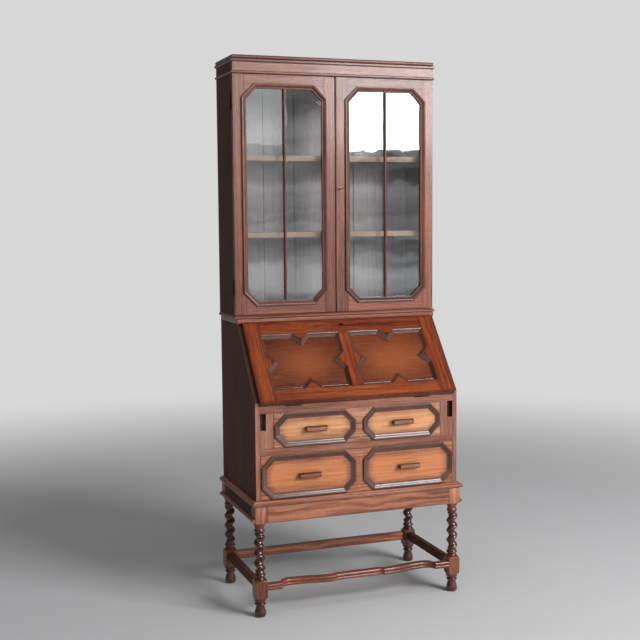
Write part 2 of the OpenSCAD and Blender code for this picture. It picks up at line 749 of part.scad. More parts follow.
// A moulding round an outline, in three steps that fall towards the middle
module moulding(outline, width, low, high) {
    for (step = [[1, 0.35], [0.62, 0.72], [0.28, 1]])
        translate([0, 0, low]) linear_extrude((high - low) * step[1]) difference() {
            polygon(outline);
            polygon(inset(outline, width * step[0]));
        }
}
module fall_mouldings() {
    outline = inset(notched(fall_panel_x, fall_panel_s, notch_half, notch_d), glue_gap);
    color(dark_oak) on_slope() both_sides()
        moulding(outline, fall_moulding_w, fall_panel_face, fall_t + fall_moulding_out);
}
fall_key_s = fall_l - fall_key_down;
module fall_lock_body(room) {
    translate([-fall_lock_w / 2 - room, fall_l - fall_lock_h - room, -room])
        cube([fall_lock_w + 2 * room, fall_lock_h + 2 * room, fall_lock_t + 2 * room]);
}
module fall_lock() {
    color(brass) on_slope() {
        difference() {
            fall_lock_body(0);
            translate([0, fall_key_s, -1]) cylinder(r = key_r + key_gap, h = fall_t);
        }
        difference() {
            translate([0, fall_key_s, fall_t]) cylinder(r = escutcheon_r, h = escutcheon_t);
            translate([0, fall_key_s, fall_t - 1]) cylinder(r = key_r + key_gap, h = escutcheon_t + 2);
        }
    }
}

module loper(x) {
    board(x, [loper_in, loper_in + loper_l], [loper_bottom, loper_top]);
}
loper_right_x = [slot_x + loper_gap, slot_x + loper_gap + loper_w];
module loper_left() { color(oak) loper([-loper_right_x[1], -loper_right_x[0]]); }
module loper_right() { color(oak) loper(loper_right_x); }

module drawer_front(half, z) {
    board([-half, half], [0, drawer_front_t], z);
}
// Two sides, a back and a bottom behind a drawer front
module drawer_box(half, z0, z1) {
    y = [drawer_front_t + glue_gap, body_d - drawer_back_gap];
    inside = half - drawer_side_t;
    both_sides() board([inside, half], y, [z0, z1]);
    board([-inside + glue_gap, inside - glue_gap], [y[1] - drawer_side_t, y[1]], [z0, z1]);
    board([-inside + glue_gap, inside - glue_gap], [y[0], y[1] - drawer_side_t - glue_gap],
        [z0 + drawer_bottom_t, z0 + 2 * drawer_bottom_t]);
}
module drawer_mouldings(half, z) {
    both_sides() rotate([90, 0, 0]) moulding(drawer_octagon(half, z), drawer_moulding_w, 0,
        drawer_moulding_out);
}
// Half of a bar pull's section, from its foot out to its face
pull_section = [[0, 7.5], [-5, 6], [-13, pull_h / 2], [-pull_out, pull_h * 0.23]];
// A bar with long chamfers, hollowed behind for the fingers
module bar_pull(x, z) {
    translate([0, 0, z]) along_x([x - pull_l / 2, x + pull_l / 2]) polygon(concat(pull_section,
        [for (i = [3:-1:0]) [pull_section[i][0], -pull_section[i][1]]]));
}
module drawer_pulls(half, z) {
    both_sides() bar_pull((octagon_gap / 2 + half - octagon_edge) / 2, (z[0] + z[1]) / 2);
}
module upper_drawer_front() { color(honey_oak) drawer_front(upper_front_x, upper_front_z); }
module upper_drawer_box() {
    color(pale_oak) drawer_box(upper_front_x, upper_bottom + slide_gap, upper_top - drawer_side_drop);
}
module upper_drawer_mouldings() { color(dark_oak) drawer_mouldings(upper_front_x, upper_front_z); }
module upper_drawer_pulls() { color(dark_oak) drawer_pulls(upper_front_x, upper_front_z); }
module lower_drawer_front() { color(honey_oak) drawer_front(lower_front_x, lower_front_z); }
module lower_drawer_box() {
    color(pale_oak) drawer_box(lower_front_x, stand_h + bottom_t + slide_gap, lower_top - drawer_side_drop);
}
module lower_drawer_mouldings() { color(dark_oak) drawer_mouldings(lower_front_x, lower_front_z); }
module lower_drawer_pulls() { color(dark_oak) drawer_pulls(lower_front_x, lower_front_z); }

case_z = [bureau_top_z, crown_under];
module case_side(x) {
    difference() {
        board(x, [case_front, body_d], case_z);
        both_sides() for (z = door_hinge_z) translate([case_x, door_hinge_y, z]) hinge_bore();
    }
}
module hinge_bore() {
    translate([0, 0, -hinge_l / 2 - knuckle_room])
        cylinder(r = knuckle_r + knuckle_room, h = hinge_l + 2 * knuckle_room);
}
module case_side_left() { color(dark_oak) case_side([-case_x, -case_inner_x]); }
module case_side_right() { color(dark_oak) case_side([case_inner_x, case_x]); }
module case_bottom() {
    color(oak) board([-case_inner_x, case_inner_x], [case_front, body_d],
        [bureau_top_z, bureau_top_z + case_bottom_t]);
}
// Three upright boards close the back
module case_back() {
    a = back_board_right - back_board_w / 2;
    b = back_board_right + back_board_w / 2;
    color(pale_oak) for (x = [[-case_x, a], [a + glue_gap, b], [b + glue_gap, case_x]])
        board(x, [body_d, back_y], case_z);
}
// The rounded top board of the cornice
module case_top() {
    r = crown_t / 2;
    color(oak) rim(case_x, door_back, back_y, [for (i = [0:round_steps])
        let (a = 180 * i / round_steps - 90)
        [crown_out - r + r * cos(a), crown_under + r + r * sin(a)]]);
}
shelf_x = case_inner_x - shelf_gap;
shelf_y = [case_front + shelf_in, body_d];
module shelf(up) {
    board([-shelf_x, shelf_x], shelf_y, [bureau_top_z + up - shelf_t, bureau_top_z + up]);
}
module shelf_upper() { color(pale_oak) shelf(upper_shelf_up); }
module shelf_lower() { color(pale_oak) shelf(lower_shelf_up); }
module shelf_battens() {
    color(oak) both_sides() for (up = [lower_shelf_up, upper_shelf_up])
        board([case_inner_x - batten_t, case_inner_x], [case_front + 2 * shelf_in, body_d],
            [bureau_top_z + up - shelf_t - batten_h, bureau_top_z + up - shelf_t]);
}
module cornice_frieze() {
    color(oak) board([-case_x, case_x], [door_back, case_front], [cornice_bottom, crown_under]);
}
module cornice_mouldings() {
    core = [[-case_x, case_x], [door_back, back_y + 1]];
    fillet = [crown_under - fillet_h, crown_under];
    bead = [cornice_bottom, cornice_bottom + bead_h];
    color(oak) {
        difference() {
            rim(case_x, door_back, back_y, [[fillet_out - 3, fillet[0]],
                [fillet_out, fillet[0] + 3], [fillet_out, fillet[1] - 2],
                [fillet_out - 2, fillet[1]]]);
            board(core[0], core[1], [fillet[0] - 1, fillet[1] + 1]);
        }
        difference() {
            rim(case_x, door_back, back_y, [[bead_out - 2, bead[0]],
                [bead_out, bead[0] + 3], [bead_out, bead[1] - 3], [1, bead[1]]]);
            board(core[0], core[1], [bead[0] - 1, bead[1] + 1]);
        }
    }
}
module case_base_moulding() {
    z = [bureau_top_z, bureau_top_z + base_moulding_h];
    grow = base_moulding_side - base_moulding_out;
    color(oak) difference() {
        rim(case_x + grow, door_back, body_d, [[base_moulding_out - 2, z[0]],
            [base_moulding_out, z[0] + 2], [base_moulding_out, z[0] + 6],
            [base_moulding_out - 5, z[1]]]);
        board([-case_x, case_x], [case_front, body_d + 1], [z[0] - 1, z[1] + 1]);
    }
}
module door_hinges_fixed() {
    color(brass) both_sides() for (z = door_hinge_z) translate([case_x, door_hinge_y, z])
        mirror([1, 0, 0]) hinge_leaf(leaf_gap / 2 - leaf_t, false);
}

// Doors: x is the door's span, edge the widths of its left and right stiles
function door_outline(x, edge) = octagon([x[0] + edge[0], x[1] - edge[1]],
    [door_z0 + door_rail_w, door_z1 - door_rail_w], door_cut);
left_edges = [door_stile_w, door_stile_w];
right_edges = [lock_stile_w, door_stile_w];
module door_frame(x, edge) {
    hole = inset(door_outline(x, edge), under_moulding);
    y = [door_back, door_rear];
    x_in = [hole[7][0], hole[2][0]];
    difference() {
        union() {
            board([x[0], x_in[0]], y, [door_z0, door_z1]);
            board([x_in[1], x[1]], y, [door_z0, door_z1]);
            along_y(y) {
                polygon([[x_in[0] + glue_gap, door_z0], [x_in[1] - glue_gap, door_z0],
                    hole[2] - [glue_gap, 0], hole[1], hole[0], hole[7] + [glue_gap, 0]]);
                polygon([[x_in[0] + glue_gap, door_z1], hole[6] + [glue_gap, 0], hole[5], hole[4],
                    hole[3] - [glue_gap, 0], [x_in[1] - glue_gap, door_z1]]);
            }
        }
        both_sides() for (z = door_hinge_z) translate([case_x, door_hinge_y, z]) hinge_bore();
        translate([key_x, 0, key_z]) rotate([-90, 0, 0]) cylinder(r = key_r + key_gap, h = case_front);
    }
}
// The moulding stands on the frame and its inner edge holds the glass; a bar crosses the pane
module door_moulding(x, edge) {
    outline = door_outline(x, edge);
    middle = (outline[7][0] + outline[2][0]) / 2;
    z = [outline[0][1] + door_moulding_w + glue_gap, outline[4][1] - door_moulding_w - glue_gap];
    translate([0, door_back, 0]) rotate([90, 0, 0])
        moulding(outline, door_moulding_w, 0, door_moulding_out);
    along_y([door_back, door_back + glass_in - glue_gap]) difference() {
        polygon(inset(outline, under_moulding + glass_edge_gap));
        polygon(inset(outline, door_moulding_w));
    }
    board([middle - bar_w / 2, middle + bar_w / 2],
        [door_back - 1, door_back + glass_in - glue_gap], z);
}
module door_glass(x, edge) {
    along_y([door_back + glass_in, door_back + glass_in + glass_t])
        polygon(inset(door_outline(x, edge), under_moulding + glass_edge_gap));
}
module door_hinges() {
    for (z = door_hinge_z) translate([case_x, door_hinge_y, z])
        mirror([1, 0, 0]) hinge_leaf(-leaf_gap / 2, true);
}
module door_left_frame() { color(oak) door_frame(left_door_x, left_edges); }
module door_left_moulding() { color(dark_oak) door_moulding(left_door_x, left_edges); }
module door_left_glass() { color("#c8d8d8", 0.35) door_glass(left_door_x, left_edges); }
module door_left_hinges() { color(brass) mirror([1, 0, 0]) door_hinges(); }
module door_right_frame() { color(oak) door_frame(right_door_x, right_edges); }
module door_right_moulding() { color(dark_oak) door_moulding(right_door_x, right_edges); }
module door_right_glass() { color("#c8d8d8", 0.35) door_glass(right_door_x, right_edges); }
module door_right_hinges() { color(brass) door_hinges(); }
module key_hole(y0, y1) {
    translate([key_x, y0, key_z]) rotate([-90, 0, 0]) cylinder(r = key_r + key_gap, h = y1 - y0);
}
// The lock's case behind the stile and its escutcheon in front
module door_lock() {
    color(brass) difference() {
        union() {
            board([right_door_x[0], right_door_x[0] + lock_case[0]], [door_rear, door_rear + lock_case[1]],
                [key_z - lock_case[2] / 2, key_z + lock_case[2] / 2]);
            translate([key_x, door_back - escutcheon_t, key_z]) rotate([-90, 0, 0])
                cylinder(r = escutcheon_r, h = escutcheon_t);
        }
        key_hole(0, case_front + lock_case[1]);
    }
}
// A shank with a flat bow for the fingers
module door_key() {
    bow_y = door_back - key_out + key_bow_r;
    shank_y = bow_y + key_bow_r - 2;
    color(iron) {
        translate([key_x, shank_y, key_z]) rotate([-90, 0, 0])
            cylinder(r = key_r, h = door_rear + lock_case[1] - 2 - shank_y);
        translate([key_x, bow_y, key_z - key_bow_t / 2]) cylinder(r = key_bow_r, h = key_bow_t);
    }
}

module place() { translate(origin_shift) children(); }

place() leg_front_left();
place() leg_front_right();
place() leg_back_left();
place() leg_back_right();
place() stand_rail_front();
place() stand_rail_back();
place() stand_rails_side();
place() stand_mouldings();
place() stretcher_front();
place() stretcher_back();
place() stretchers_side();
place() bureau_side_left();
place() bureau_side_right();
place() bureau_bottom();
place() bureau_top();
place() bureau_back();
place() writing_bed();
place() bed_rail();
place() front_stiles();
place() drawer_rail();
place() drawer_runners();
place() pigeonholes();
place() fall_hinges_fixed();
place() fall_frame();
place() fall_panels();
place() fall_mouldings();
place() fall_lock();
place() fall_hinges();
place() loper_left();
place() loper_right();
place() upper_drawer_front();
place() upper_drawer_box();
place() upper_drawer_mouldings();
place() upper_drawer_pulls();
place() lower_drawer_front();
place() lower_drawer_box();
place() lower_drawer_mouldings();
place() lower_drawer_pulls();
place() case_side_left();
place() case_side_right();
place() case_bottom();
place() case_back();
place() case_top();
place() shelf_upper();
place() shelf_lower();
place() shelf_battens();
place() cornice_frieze();
place() cornice_mouldings();
place() case_base_moulding();
place() door_hinges_fixed();
place() door_left_frame();
place() door_left_moulding();
place() door_left_glass();
place() door_left_hinges();
place() door_right_frame();
place() door_right_moulding();
place() door_right_glass();
place() door_right_hinges();
place() door_lock();
place() door_key();
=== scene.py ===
import json, math, random
import bpy, bmesh
from mathutils import Matrix, Vector


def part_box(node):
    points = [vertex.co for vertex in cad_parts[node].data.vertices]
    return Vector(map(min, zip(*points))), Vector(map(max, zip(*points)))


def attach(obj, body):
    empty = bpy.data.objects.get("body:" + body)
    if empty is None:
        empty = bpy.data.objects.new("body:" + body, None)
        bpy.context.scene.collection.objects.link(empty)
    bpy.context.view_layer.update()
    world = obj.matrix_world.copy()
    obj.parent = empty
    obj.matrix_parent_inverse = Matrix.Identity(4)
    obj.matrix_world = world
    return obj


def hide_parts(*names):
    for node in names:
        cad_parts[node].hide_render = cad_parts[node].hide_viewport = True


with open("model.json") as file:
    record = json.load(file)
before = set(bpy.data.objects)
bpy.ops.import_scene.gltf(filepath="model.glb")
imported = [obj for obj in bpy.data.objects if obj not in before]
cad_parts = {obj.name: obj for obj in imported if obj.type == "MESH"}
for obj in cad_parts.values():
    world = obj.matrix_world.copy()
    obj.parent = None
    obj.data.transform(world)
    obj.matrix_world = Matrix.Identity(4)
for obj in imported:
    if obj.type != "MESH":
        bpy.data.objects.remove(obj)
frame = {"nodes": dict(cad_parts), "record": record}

scene = bpy.context.scene
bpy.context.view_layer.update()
record = frame["record"]
bodyOf = {n: body for body, nodes in record["behaviour"]["bodies"].items() for n in nodes}
slotOf = {s["node"]: s["material_slot"] for s in record["subparts"]}
print("frame loaded:", len(frame["nodes"]), "nodes")

mm = 0.001


# One socket of a finish. Sums and products of sockets add their own Math nodes.
class Sock:
    def __init__(self, finish, socket):
        self.finish, self.socket = finish, socket

    def maths(self, operation, *others):
        return self.finish.node("ShaderNodeMath", {"operation": operation},
                                dict(enumerate((self,) + others)))

    def __add__(self, other): return self.maths("ADD", other)
    __radd__ = __add__
    def __sub__(self, other): return self.maths("SUBTRACT", other)
    def __rsub__(self, other): return (self * -1) + other
    def __mul__(self, other): return self.maths("MULTIPLY", other)
    __rmul__ = __mul__
    def __truediv__(self, other): return self.maths("DIVIDE", other)
    def __pow__(self, other): return self.maths("POWER", other)
    def __abs__(self): return self.maths("ABSOLUTE")
    def least(self, other): return self.maths("MINIMUM", other)


# The nodes of one material or of the world, all added by one method
class Finish:
    def __init__(self, owner):
        self.owner = owner
        owner.use_nodes = True
        self.tree = owner.node_tree
        self.tree.nodes.clear()

    def node(self, kind, settings=None, inputs=None, out=0):
        made = self.tree.nodes.new(kind)
        for key, value in (settings or {}).items():
            if key == "stops":
                stops = made.color_ramp.elements
                while len(stops) < len(value):
                    stops.new(0.5)
                for stop, (place, colour) in zip(stops, value):
                    stop.position, stop.color = place, (*colour, 1)
            else:
                setattr(made, key, value)
        for key, value in (inputs or {}).items():
            if isinstance(value, Sock):
                self.tree.links.new(value.socket, made.inputs[key])
            else:
                made.inputs[key].default_value = value
        sockets = [Sock(self, o) for o in made.outputs]
        return sockets if out is None else sockets[out]

    def noise(self, place, scale, detail=2.0, rough=0.5, bend=0.0):
        return self.node("ShaderNodeTexNoise", {}, {"Vector": place, "Scale": scale,
                         "Detail": detail, "Roughness": rough, "Distortion": bend})

    # stretched by a factor along each axis
    def stretch(self, place, factors):
        return self.node("ShaderNodeVectorMath", {"operation": "MULTIPLY"}, {0: place, 1: factors})

    def shift(self, place, step):
        return self.node("ShaderNodeVectorMath", {"operation": "ADD"}, {0: place, 1: step})

    # 0 below low, 1 above high, and smooth between
    def rise(self, value, low, high):
        return self.node("ShaderNodeMapRange", {"interpolation_type": "SMOOTHSTEP"},
                         {"Value": value, "From Min": low, "From Max": high})

    def mix(self, first, second, amount, how="MIX"):
        return self.node("ShaderNodeMix", {"data_type": "RGBA", "blend_type": how},
                         {0: amount, 6: first, 7: second}, out=2)

    def ramp(self, value, stops):
        return self.node("ShaderNodeValToRGB", {"stops": stops}, {0: value})

    def split(self, place):
        return self.node("ShaderNodeSeparateXYZ", {}, {0: place}, out=None)

    def own(self):
        return self.node("ShaderNodeTexCoord", out=3)

    def attribute(self, name, vector=True):
        return self.node("ShaderNodeAttribute", {"attribute_name": name}, out=1 if vector else 2)

    def surface(self, shader):
        self.node("ShaderNodeOutputMaterial", {}, {"Surface": shader}, out=None)
        return self.owner


def newFinish(name):
    return Finish(bpy.data.materials.new(name))


def rgb(red, green, blue):
    # from the 0 to 255 values of a colour chart to Blender's own
    return tuple((c / 255 / 12.92) if c < 10.3 else ((c / 255 + 0.055) / 1.055) ** 2.4
                 for c in (red, green, blue))


# Oak. Each board carries its own place in "grain" (X along the grain, Y across, Z through),
# its half sizes in "boardSize" and a number of its own in "seed".
oakLook = {"rings": 0.04, "streaks": 0.34, "fibres": 0.40, "clouds": 0.22, "ringScale": 46,
           "edgeWidth": 9 * mm, "edgeDark": 0.4, "fleck": 0.10, "rough": 0.34, "coat": 0.2,
           "bump": 0.3, "contrast": 1.75, "differ": 0.3}


def oak(name, dark, middle, light, field=None, **changes):
    look = {**oakLook, **changes}
    f = newFinish(name)
    own = f.attribute("grain")
    seed = f.attribute("seed", vector=False)
    size = f.split(f.attribute("boardSize"))
    x, y, z = f.split(own)
    step = f.node("ShaderNodeCombineXYZ", {}, {0: seed * 9.7, 1: seed * 0.23, 2: seed * 0.11 + 0.05})
    place = f.shift(own, step)

    wander = f.noise(f.stretch(place, (2.4, 9, 9)), 1.0, 2)
    ringPlace = f.shift(f.stretch(place, (0.3, 1, 1)),
                        f.node("ShaderNodeCombineXYZ", {}, {1: wander * 0.07, 2: wander * 0.05}))
    rings = f.node("ShaderNodeTexWave", {"wave_type": "RINGS", "rings_direction": "X"},
                   {"Vector": ringPlace, "Scale": look["ringScale"], "Distortion": 3.2, "Detail": 4.0,
                    "Detail Scale": 1.8}, out=1)
    streaks = f.noise(f.stretch(place, (2.2, 110, 110)), 1.0, 5, 0.62, 0.4)
    fibres = f.noise(f.stretch(place, (12, 420, 420)), 1.0, 3, 0.7)
    clouds = f.noise(f.stretch(place, (2.5, 5, 5)), 1.0, 3)
    pores = f.rise(f.noise(f.stretch(place, (70, 1300, 1300)), 1.0, 2, 0.5), 0.56, 0.66)
    pattern = (rings * look["rings"] + streaks * look["streaks"] + fibres * look["fibres"]
               + clouds * look["clouds"] - 0.5)
    tone = pattern * (2.1 * look["contrast"]) + 0.5 + (seed - 0.5) * look["differ"]
    colour = f.ramp(tone, [(0.0, dark), (0.45, middle), (1.0, light)])

    # quarter-sawn flecks lie across the grain
    flecks = f.rise(f.noise(f.stretch(place, (150, 26, 60)), 1.0, 1, 0.4, 0.4), 0.60, 0.70)
    colour = f.mix(colour, (*light, 1), flecks * look["fleck"])
    colour = f.mix(colour, (*dark, 1), pores * 0.45)

    # polish and dirt have darkened each board towards its edges
    reach = (size[0] - abs(x)).least(size[1] - abs(y))
    inside = f.rise(reach + (streaks - 0.5) * (9 * mm), 0.0, look["edgeWidth"])
    colour = f.mix(colour, (*dark, 1), (1 - inside) * look["edgeDark"])
    if field:
        colour = field(f, colour, clouds, streaks)

    rub = f.noise(f.stretch(place, (6, 11, 11)), 1.0, 4, 0.6)
    rough = look["rough"] + (rub - 0.5) * 0.22 + pores * 0.18 + (fibres - 0.5) * 0.1
    height = fibres * 0.35 - pores * 0.5 + rings * 0.12
    normal = f.node("ShaderNodeBump", {}, {"Strength": look["bump"], "Distance": 0.0009, "Height": height})
    return f.surface(f.node("ShaderNodeBsdfPrincipled", {}, {
        "Base Color": colour, "Roughness": rough, "Normal": normal, "Specular IOR Level": 0.4,
        "Coat Weight": look["coat"], "Coat Roughness": 0.12, "IOR": 1.5}))


# Inside an octagon the drawer front is worn to honey, and it darkens again beside the moulding
def drawerField(across, up, cut, centreX, centreZ, honey, margin):
    def paint(f, colour, clouds, streaks):
        x, y, z = f.split(f.own())
        dx, dz = abs(abs(x) - centreX), abs(z - centreZ)
        reach = (across - dx).least(up - dz).least((across + up - cut - dx - dz) * 0.7071)
        reach = reach + (clouds - 0.5) * (26 * mm)
        worn = f.rise(reach, 12 * mm, 44 * mm)
        inside = f.rise(reach, 16 * mm, 17 * mm)
        own = f.mix(colour, f.mix(colour, (*honey, 1), 0.42), worn)
        return f.mix(own, f.mix(own, (*margin, 1), 0.5, "MULTIPLY"), inside * (1 - worn) * 0.55)
    return paint


# The panels of the fall are honey in the middle and dark at their margins
def panelField(honey, margin):
    def paint(f, colour, clouds, streaks):
        x, y, z = f.split(f.attribute("grain"))
        size = f.split(f.attribute("boardSize"))
        away = ((x / size[0]) ** 2 * 0.7 + (abs(y + 8 * mm) / size[1]) ** 2) ** 0.5
        middle = 1 - f.rise(away + (clouds - 0.5) * 1.1 + (streaks - 0.5) * 0.7, 0.05, 1.0)
        return f.mix(f.mix(colour, (*margin, 1), 0.25), (*honey, 1), middle * 0.4)
    return paint


# Painted sheen: the bookcase is redder low down and greyer towards the cornice, where the window's
# reflection is painted into the colour
def paintedSheenRise(low, high, tint):
    def paint(f, colour, clouds, streaks):
        z = f.split(f.own())[2]
        return f.mix(colour, (*tint, 1), 1 - f.rise(z, low, high), "MULTIPLY")
    return paint


# Narrow boards set side by side, seen as dark joints
def jointField(places):
    def paint(f, colour, clouds, streaks):
        x = f.split(f.own())[0]
        near = 1.0
        for place in places:
            near = f.rise(abs(x - place), 0.6 * mm, 2.4 * mm) * near
        return f.mix(colour, (0.02, 0.012, 0.01, 1), (1 - near) * 0.8)
    return paint


def plain(name, colour, other, scale, **settings):
    f = newFinish(name)
    place = f.own()
    cloud = f.noise(place, scale, 4, 0.6)
    fine = f.noise(place, scale * 9, 3, 0.6)
    normal = f.node("ShaderNodeBump", {}, {"Strength": 0.2, "Distance": 0.0004, "Height": fine})
    rough = settings.pop("Roughness")
    return f.surface(f.node("ShaderNodeBsdfPrincipled", {}, {
        "Base Color": f.mix((*colour, 1), (*other, 1), f.rise(cloud, 0.35, 0.65)),
        "Roughness": rough + (cloud - 0.5) * 0.25, "Normal": normal, **settings}))


def paneFinish():
    f = newFinish("windowGlass")
    place = f.own()
    waves = f.noise(place, 7.0, 2)
    normal = f.node("ShaderNodeBump", {}, {"Strength": 0.12, "Distance": 0.004, "Height": waves})
    mirror = f.node("ShaderNodeFresnel", {}, {"IOR": 1.52})
    clear = f.node("ShaderNodeBsdfTransparent", {}, {"Color": (0.93, 0.95, 0.94, 1)})
    gloss = f.node("ShaderNodeBsdfGlossy", {}, {"Color": (1, 1, 1, 1), "Roughness": 0.02, "Normal": normal})
    return f.surface(f.node("ShaderNodeMixShader", {}, {0: mirror * 1.7, 1: clear, 2: gloss}))


finishes = {
    # the case's upper part keeps a painted sheen, greyer than its redder lower part
    "caseOak": oak("caseOak", rgb(56, 26, 18), rgb(108, 62, 44), rgb(146, 96, 74),
                   field=paintedSheenRise(1.3, 1.9, (1.08, 0.82, 0.68))),
    "railOak": oak("railOak", rgb(82, 38, 26), rgb(154, 94, 70), rgb(200, 142, 114)),
    "friezeOak": oak("friezeOak", rgb(80, 40, 26), rgb(154, 94, 66), rgb(198, 136, 102),
                     rings=0.12, streaks=0.3, fibres=0.3, clouds=0.28, ringScale=16, contrast=1.3),
    # a darker copy of the oak for faces turned away from the lamps: painted shade
    "sideOak": oak("sideOak", rgb(46, 25, 16), rgb(76, 43, 28), rgb(98, 58, 38), rough=0.7, coat=0.0),
    "slotOak": oak("slotOak", rgb(26, 17, 14), rgb(42, 29, 24), rgb(58, 40, 32), rough=0.6, coat=0.0),
    "fallOak": oak("fallOak", rgb(42, 14, 7), rgb(112, 45, 17), rgb(156, 75, 29),
                   edgeWidth=16 * mm, edgeDark=0.55, rough=0.27, coat=0.35, differ=0.12),
    "panelOak": oak("panelOak", rgb(38, 13, 8), rgb(86, 36, 18), rgb(128, 64, 30),
                    rough=0.27, coat=0.35, contrast=1.7, edgeDark=0.3, fleck=0.25,
                    field=panelField(rgb(168, 92, 40), rgb(80, 32, 18))),
    "mouldingOak": oak("mouldingOak", rgb(46, 19, 12), rgb(86, 45, 30), rgb(128, 78, 58),
                       edgeDark=0.1, rough=0.36, coat=0.15),
    "darkMouldingOak": oak("darkMouldingOak", rgb(44, 22, 16), rgb(78, 44, 32), rgb(108, 66, 50),
                           edgeDark=0.1, rough=0.3, coat=0.5),
    "pullOak": oak("pullOak", rgb(54, 24, 14), rgb(92, 48, 32), rgb(126, 74, 54),
                   edgeDark=0.2, rough=0.25, coat=0.5),
    "legOak": oak("legOak", rgb(32, 11, 7), rgb(66, 26, 16), rgb(100, 46, 30),
                  edgeDark=0.0, rough=0.2, coat=0.7, contrast=1.0),
    "warmLegOak": oak("warmLegOak", rgb(58, 25, 14), rgb(106, 54, 32), rgb(140, 78, 48),
                      edgeDark=0.0, rough=0.26, coat=0.4),
    "stretcherOak": oak("stretcherOak", rgb(70, 30, 20), rgb(120, 60, 38), rgb(152, 86, 58),
                        edgeDark=0.2, rough=0.26, coat=0.4),
    "insideOak": oak("insideOak", rgb(100, 82, 68), rgb(142, 120, 102), rgb(166, 142, 122),
                     rough=0.5, coat=0.0, edgeDark=0.5, rings=0.05, clouds=0.35),
    "backOak": oak("backOak", rgb(92, 80, 80), rgb(140, 126, 128), rgb(170, 156, 158),
                   rough=0.5, coat=0.0, edgeDark=0.5, rings=0.05, clouds=0.35, contrast=1.2,
                   field=jointField([n * 124 * mm - 94 * mm for n in range(-2, 4)])),
    "shelfOak": oak("shelfOak", rgb(134, 100, 74), rgb(178, 142, 112), rgb(204, 172, 142),
                    rough=0.45, coat=0.0, edgeDark=0.1),
    "brass": plain("brass", rgb(136, 118, 92), rgb(96, 80, 62), 60.0, Roughness=0.5, Metallic=1.0),
    "darkBrass": plain("darkBrass", rgb(62, 46, 34), rgb(38, 28, 22), 90.0, Roughness=0.5, Metallic=1.0),
    "iron": plain("iron", rgb(60, 54, 50), rgb(34, 30, 28), 120.0, Roughness=0.45, Metallic=0.9),
    "glass": paneFinish()}
print("finishes made:", len(finishes))


# Making pieces
def newMesh():
    bm = bmesh.new()
    bm.verts.layers.float_vector.new("grain")
    bm.verts.layers.float_vector.new("boardSize")
    bm.verts.layers.float.new("seed")
    return bm


# Each thing once, in the order given
def once(things):
    return list(dict.fromkeys(things))


# The separate boards of a mesh, in the order of their first vertices
def islands(bm):
    left = dict.fromkeys(bm.verts)
    while left:
        first = next(iter(left))
        del left[first]
        group, edge = set(), [first]
        while edge:
            v = edge.pop()
            group.add(v)
            for e in v.link_edges:
                other = e.other_vert(v)
                if other in left:
                    del left[other]
                    edge.append(other)
        yield sorted(group, key=lambda v: v.index)


# Gives a board's vertices their place along, across and through the board
def setGrain(bm, verts, along, through, seed):
    along = Vector(along).normalized()
    through = (Vector(through) - along * along.dot(Vector(through))).normalized()
    axes = (along, through.cross(along), through)
    grain, size, own = (bm.verts.layers.float_vector["grain"], bm.verts.layers.float_vector["boardSize"],
                        bm.verts.layers.float["seed"])
    reach = [[min(v.co.dot(a) for v in verts), max(v.co.dot(a) for v in verts)] for a in axes]
    half = Vector([(hi - lo) / 2 for lo, hi in reach])
    middle = [(hi + lo) / 2 for lo, hi in reach]
    for v in verts:
        v[grain] = Vector([v.co.dot(a) - m for a, m in zip(axes, middle)])
        v[size] = half
        v[own] = seed


# Every island that has no grain yet gets it along its longest side
def grainByLength(bm, name, axes):
    bm.verts.index_update()
    dice = random.Random(name)
    size = bm.verts.layers.float_vector["boardSize"]
    for verts in islands(bm):
        if verts[0][size].length > 0:
            continue
        spans = sorted(((max(v.co.dot(a) for v in verts) - min(v.co.dot(a) for v in verts), i)
                        for i, a in enumerate(axes)), reverse=True)
        setGrain(bm, verts, axes[spans[0][1]], axes[spans[2][1]], dice.random())


upright = (Vector((1, 0, 0)), Vector((0, 1, 0)), Vector((0, 0, 1)))


def makePiece(name, bm, finish, body, slot, nodes=(), axes=upright, crease=50, weighted=True):
    grainByLength(bm, name, axes)
    for face in bm.faces:
        face.smooth = True
    for edge in bm.edges:
        edge.smooth = not (len(edge.link_faces) == 2 and edge.calc_face_angle() > math.radians(crease))
    mesh = bpy.data.meshes.new(name)
    bm.to_mesh(mesh)
    bm.free()
    piece = bpy.data.objects.new(name, mesh)
    scene.collection.objects.link(piece)
    mesh.materials.append(finishes[finish])
    if weighted:
        normals = piece.modifiers.new("evenNormals", "WEIGHTED_NORMAL")
        normals.keep_sharp, normals.weight = True, 100
    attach(piece, body)
    if nodes:
        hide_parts(*nodes)
    return piece


def cadCopy(node):
    bm = newMesh()
    bm.from_mesh(frame["nodes"][node].data)
    bmesh.ops.remove_doubles(bm, verts=bm.verts, dist=1e-6)
    bmesh.ops.dissolve_limit(bm, angle_limit=math.radians(0.4), verts=bm.verts, edges=bm.edges)
    return bm


def roundEdges(bm, width, above=30, segments=2):
    edges = [e for e in bm.edges if len(e.link_faces) == 2
             and e.calc_face_angle() > math.radians(above)]
    bmesh.ops.bevel(bm, geom=edges, offset=width, offset_type="OFFSET", segments=segments, profile=0.5,
                    affect="EDGES", clamp_overlap=True, material=-1)


def camel(node):
    words = node.split("_")
    return words[0] + "".join(w.capitalize() for w in words[1:])


# A plain board or frame from the design, with its sharp edges worn round
def boardPiece(node, finish, width=0.9 * mm, axes=upright):
    bm = cadCopy(node)
    roundEdges(bm, width)
    return makePiece(camel(node), bm, finish, bodyOf[node], slotOf[node], [node], axes)


pin = Vector(record["behaviour"]["joints"][0]["pos_m"])
fallShape = {"slope": 51, "thickness": 25 * mm, "panelFace": 14 * mm,
             "panelX": (17.5 * mm, 324.5 * mm), "panelUp": (47 * mm, 285.7 * mm),
             "notchHalf": 30 * mm, "notchDeep": 30 * mm}
slope = Matrix.Translation(pin) @ Matrix.Rotation(math.radians(fallShape["slope"]), 4, "X")
fallAxes = tuple(slope.to_3x3() @ a for a in upright)

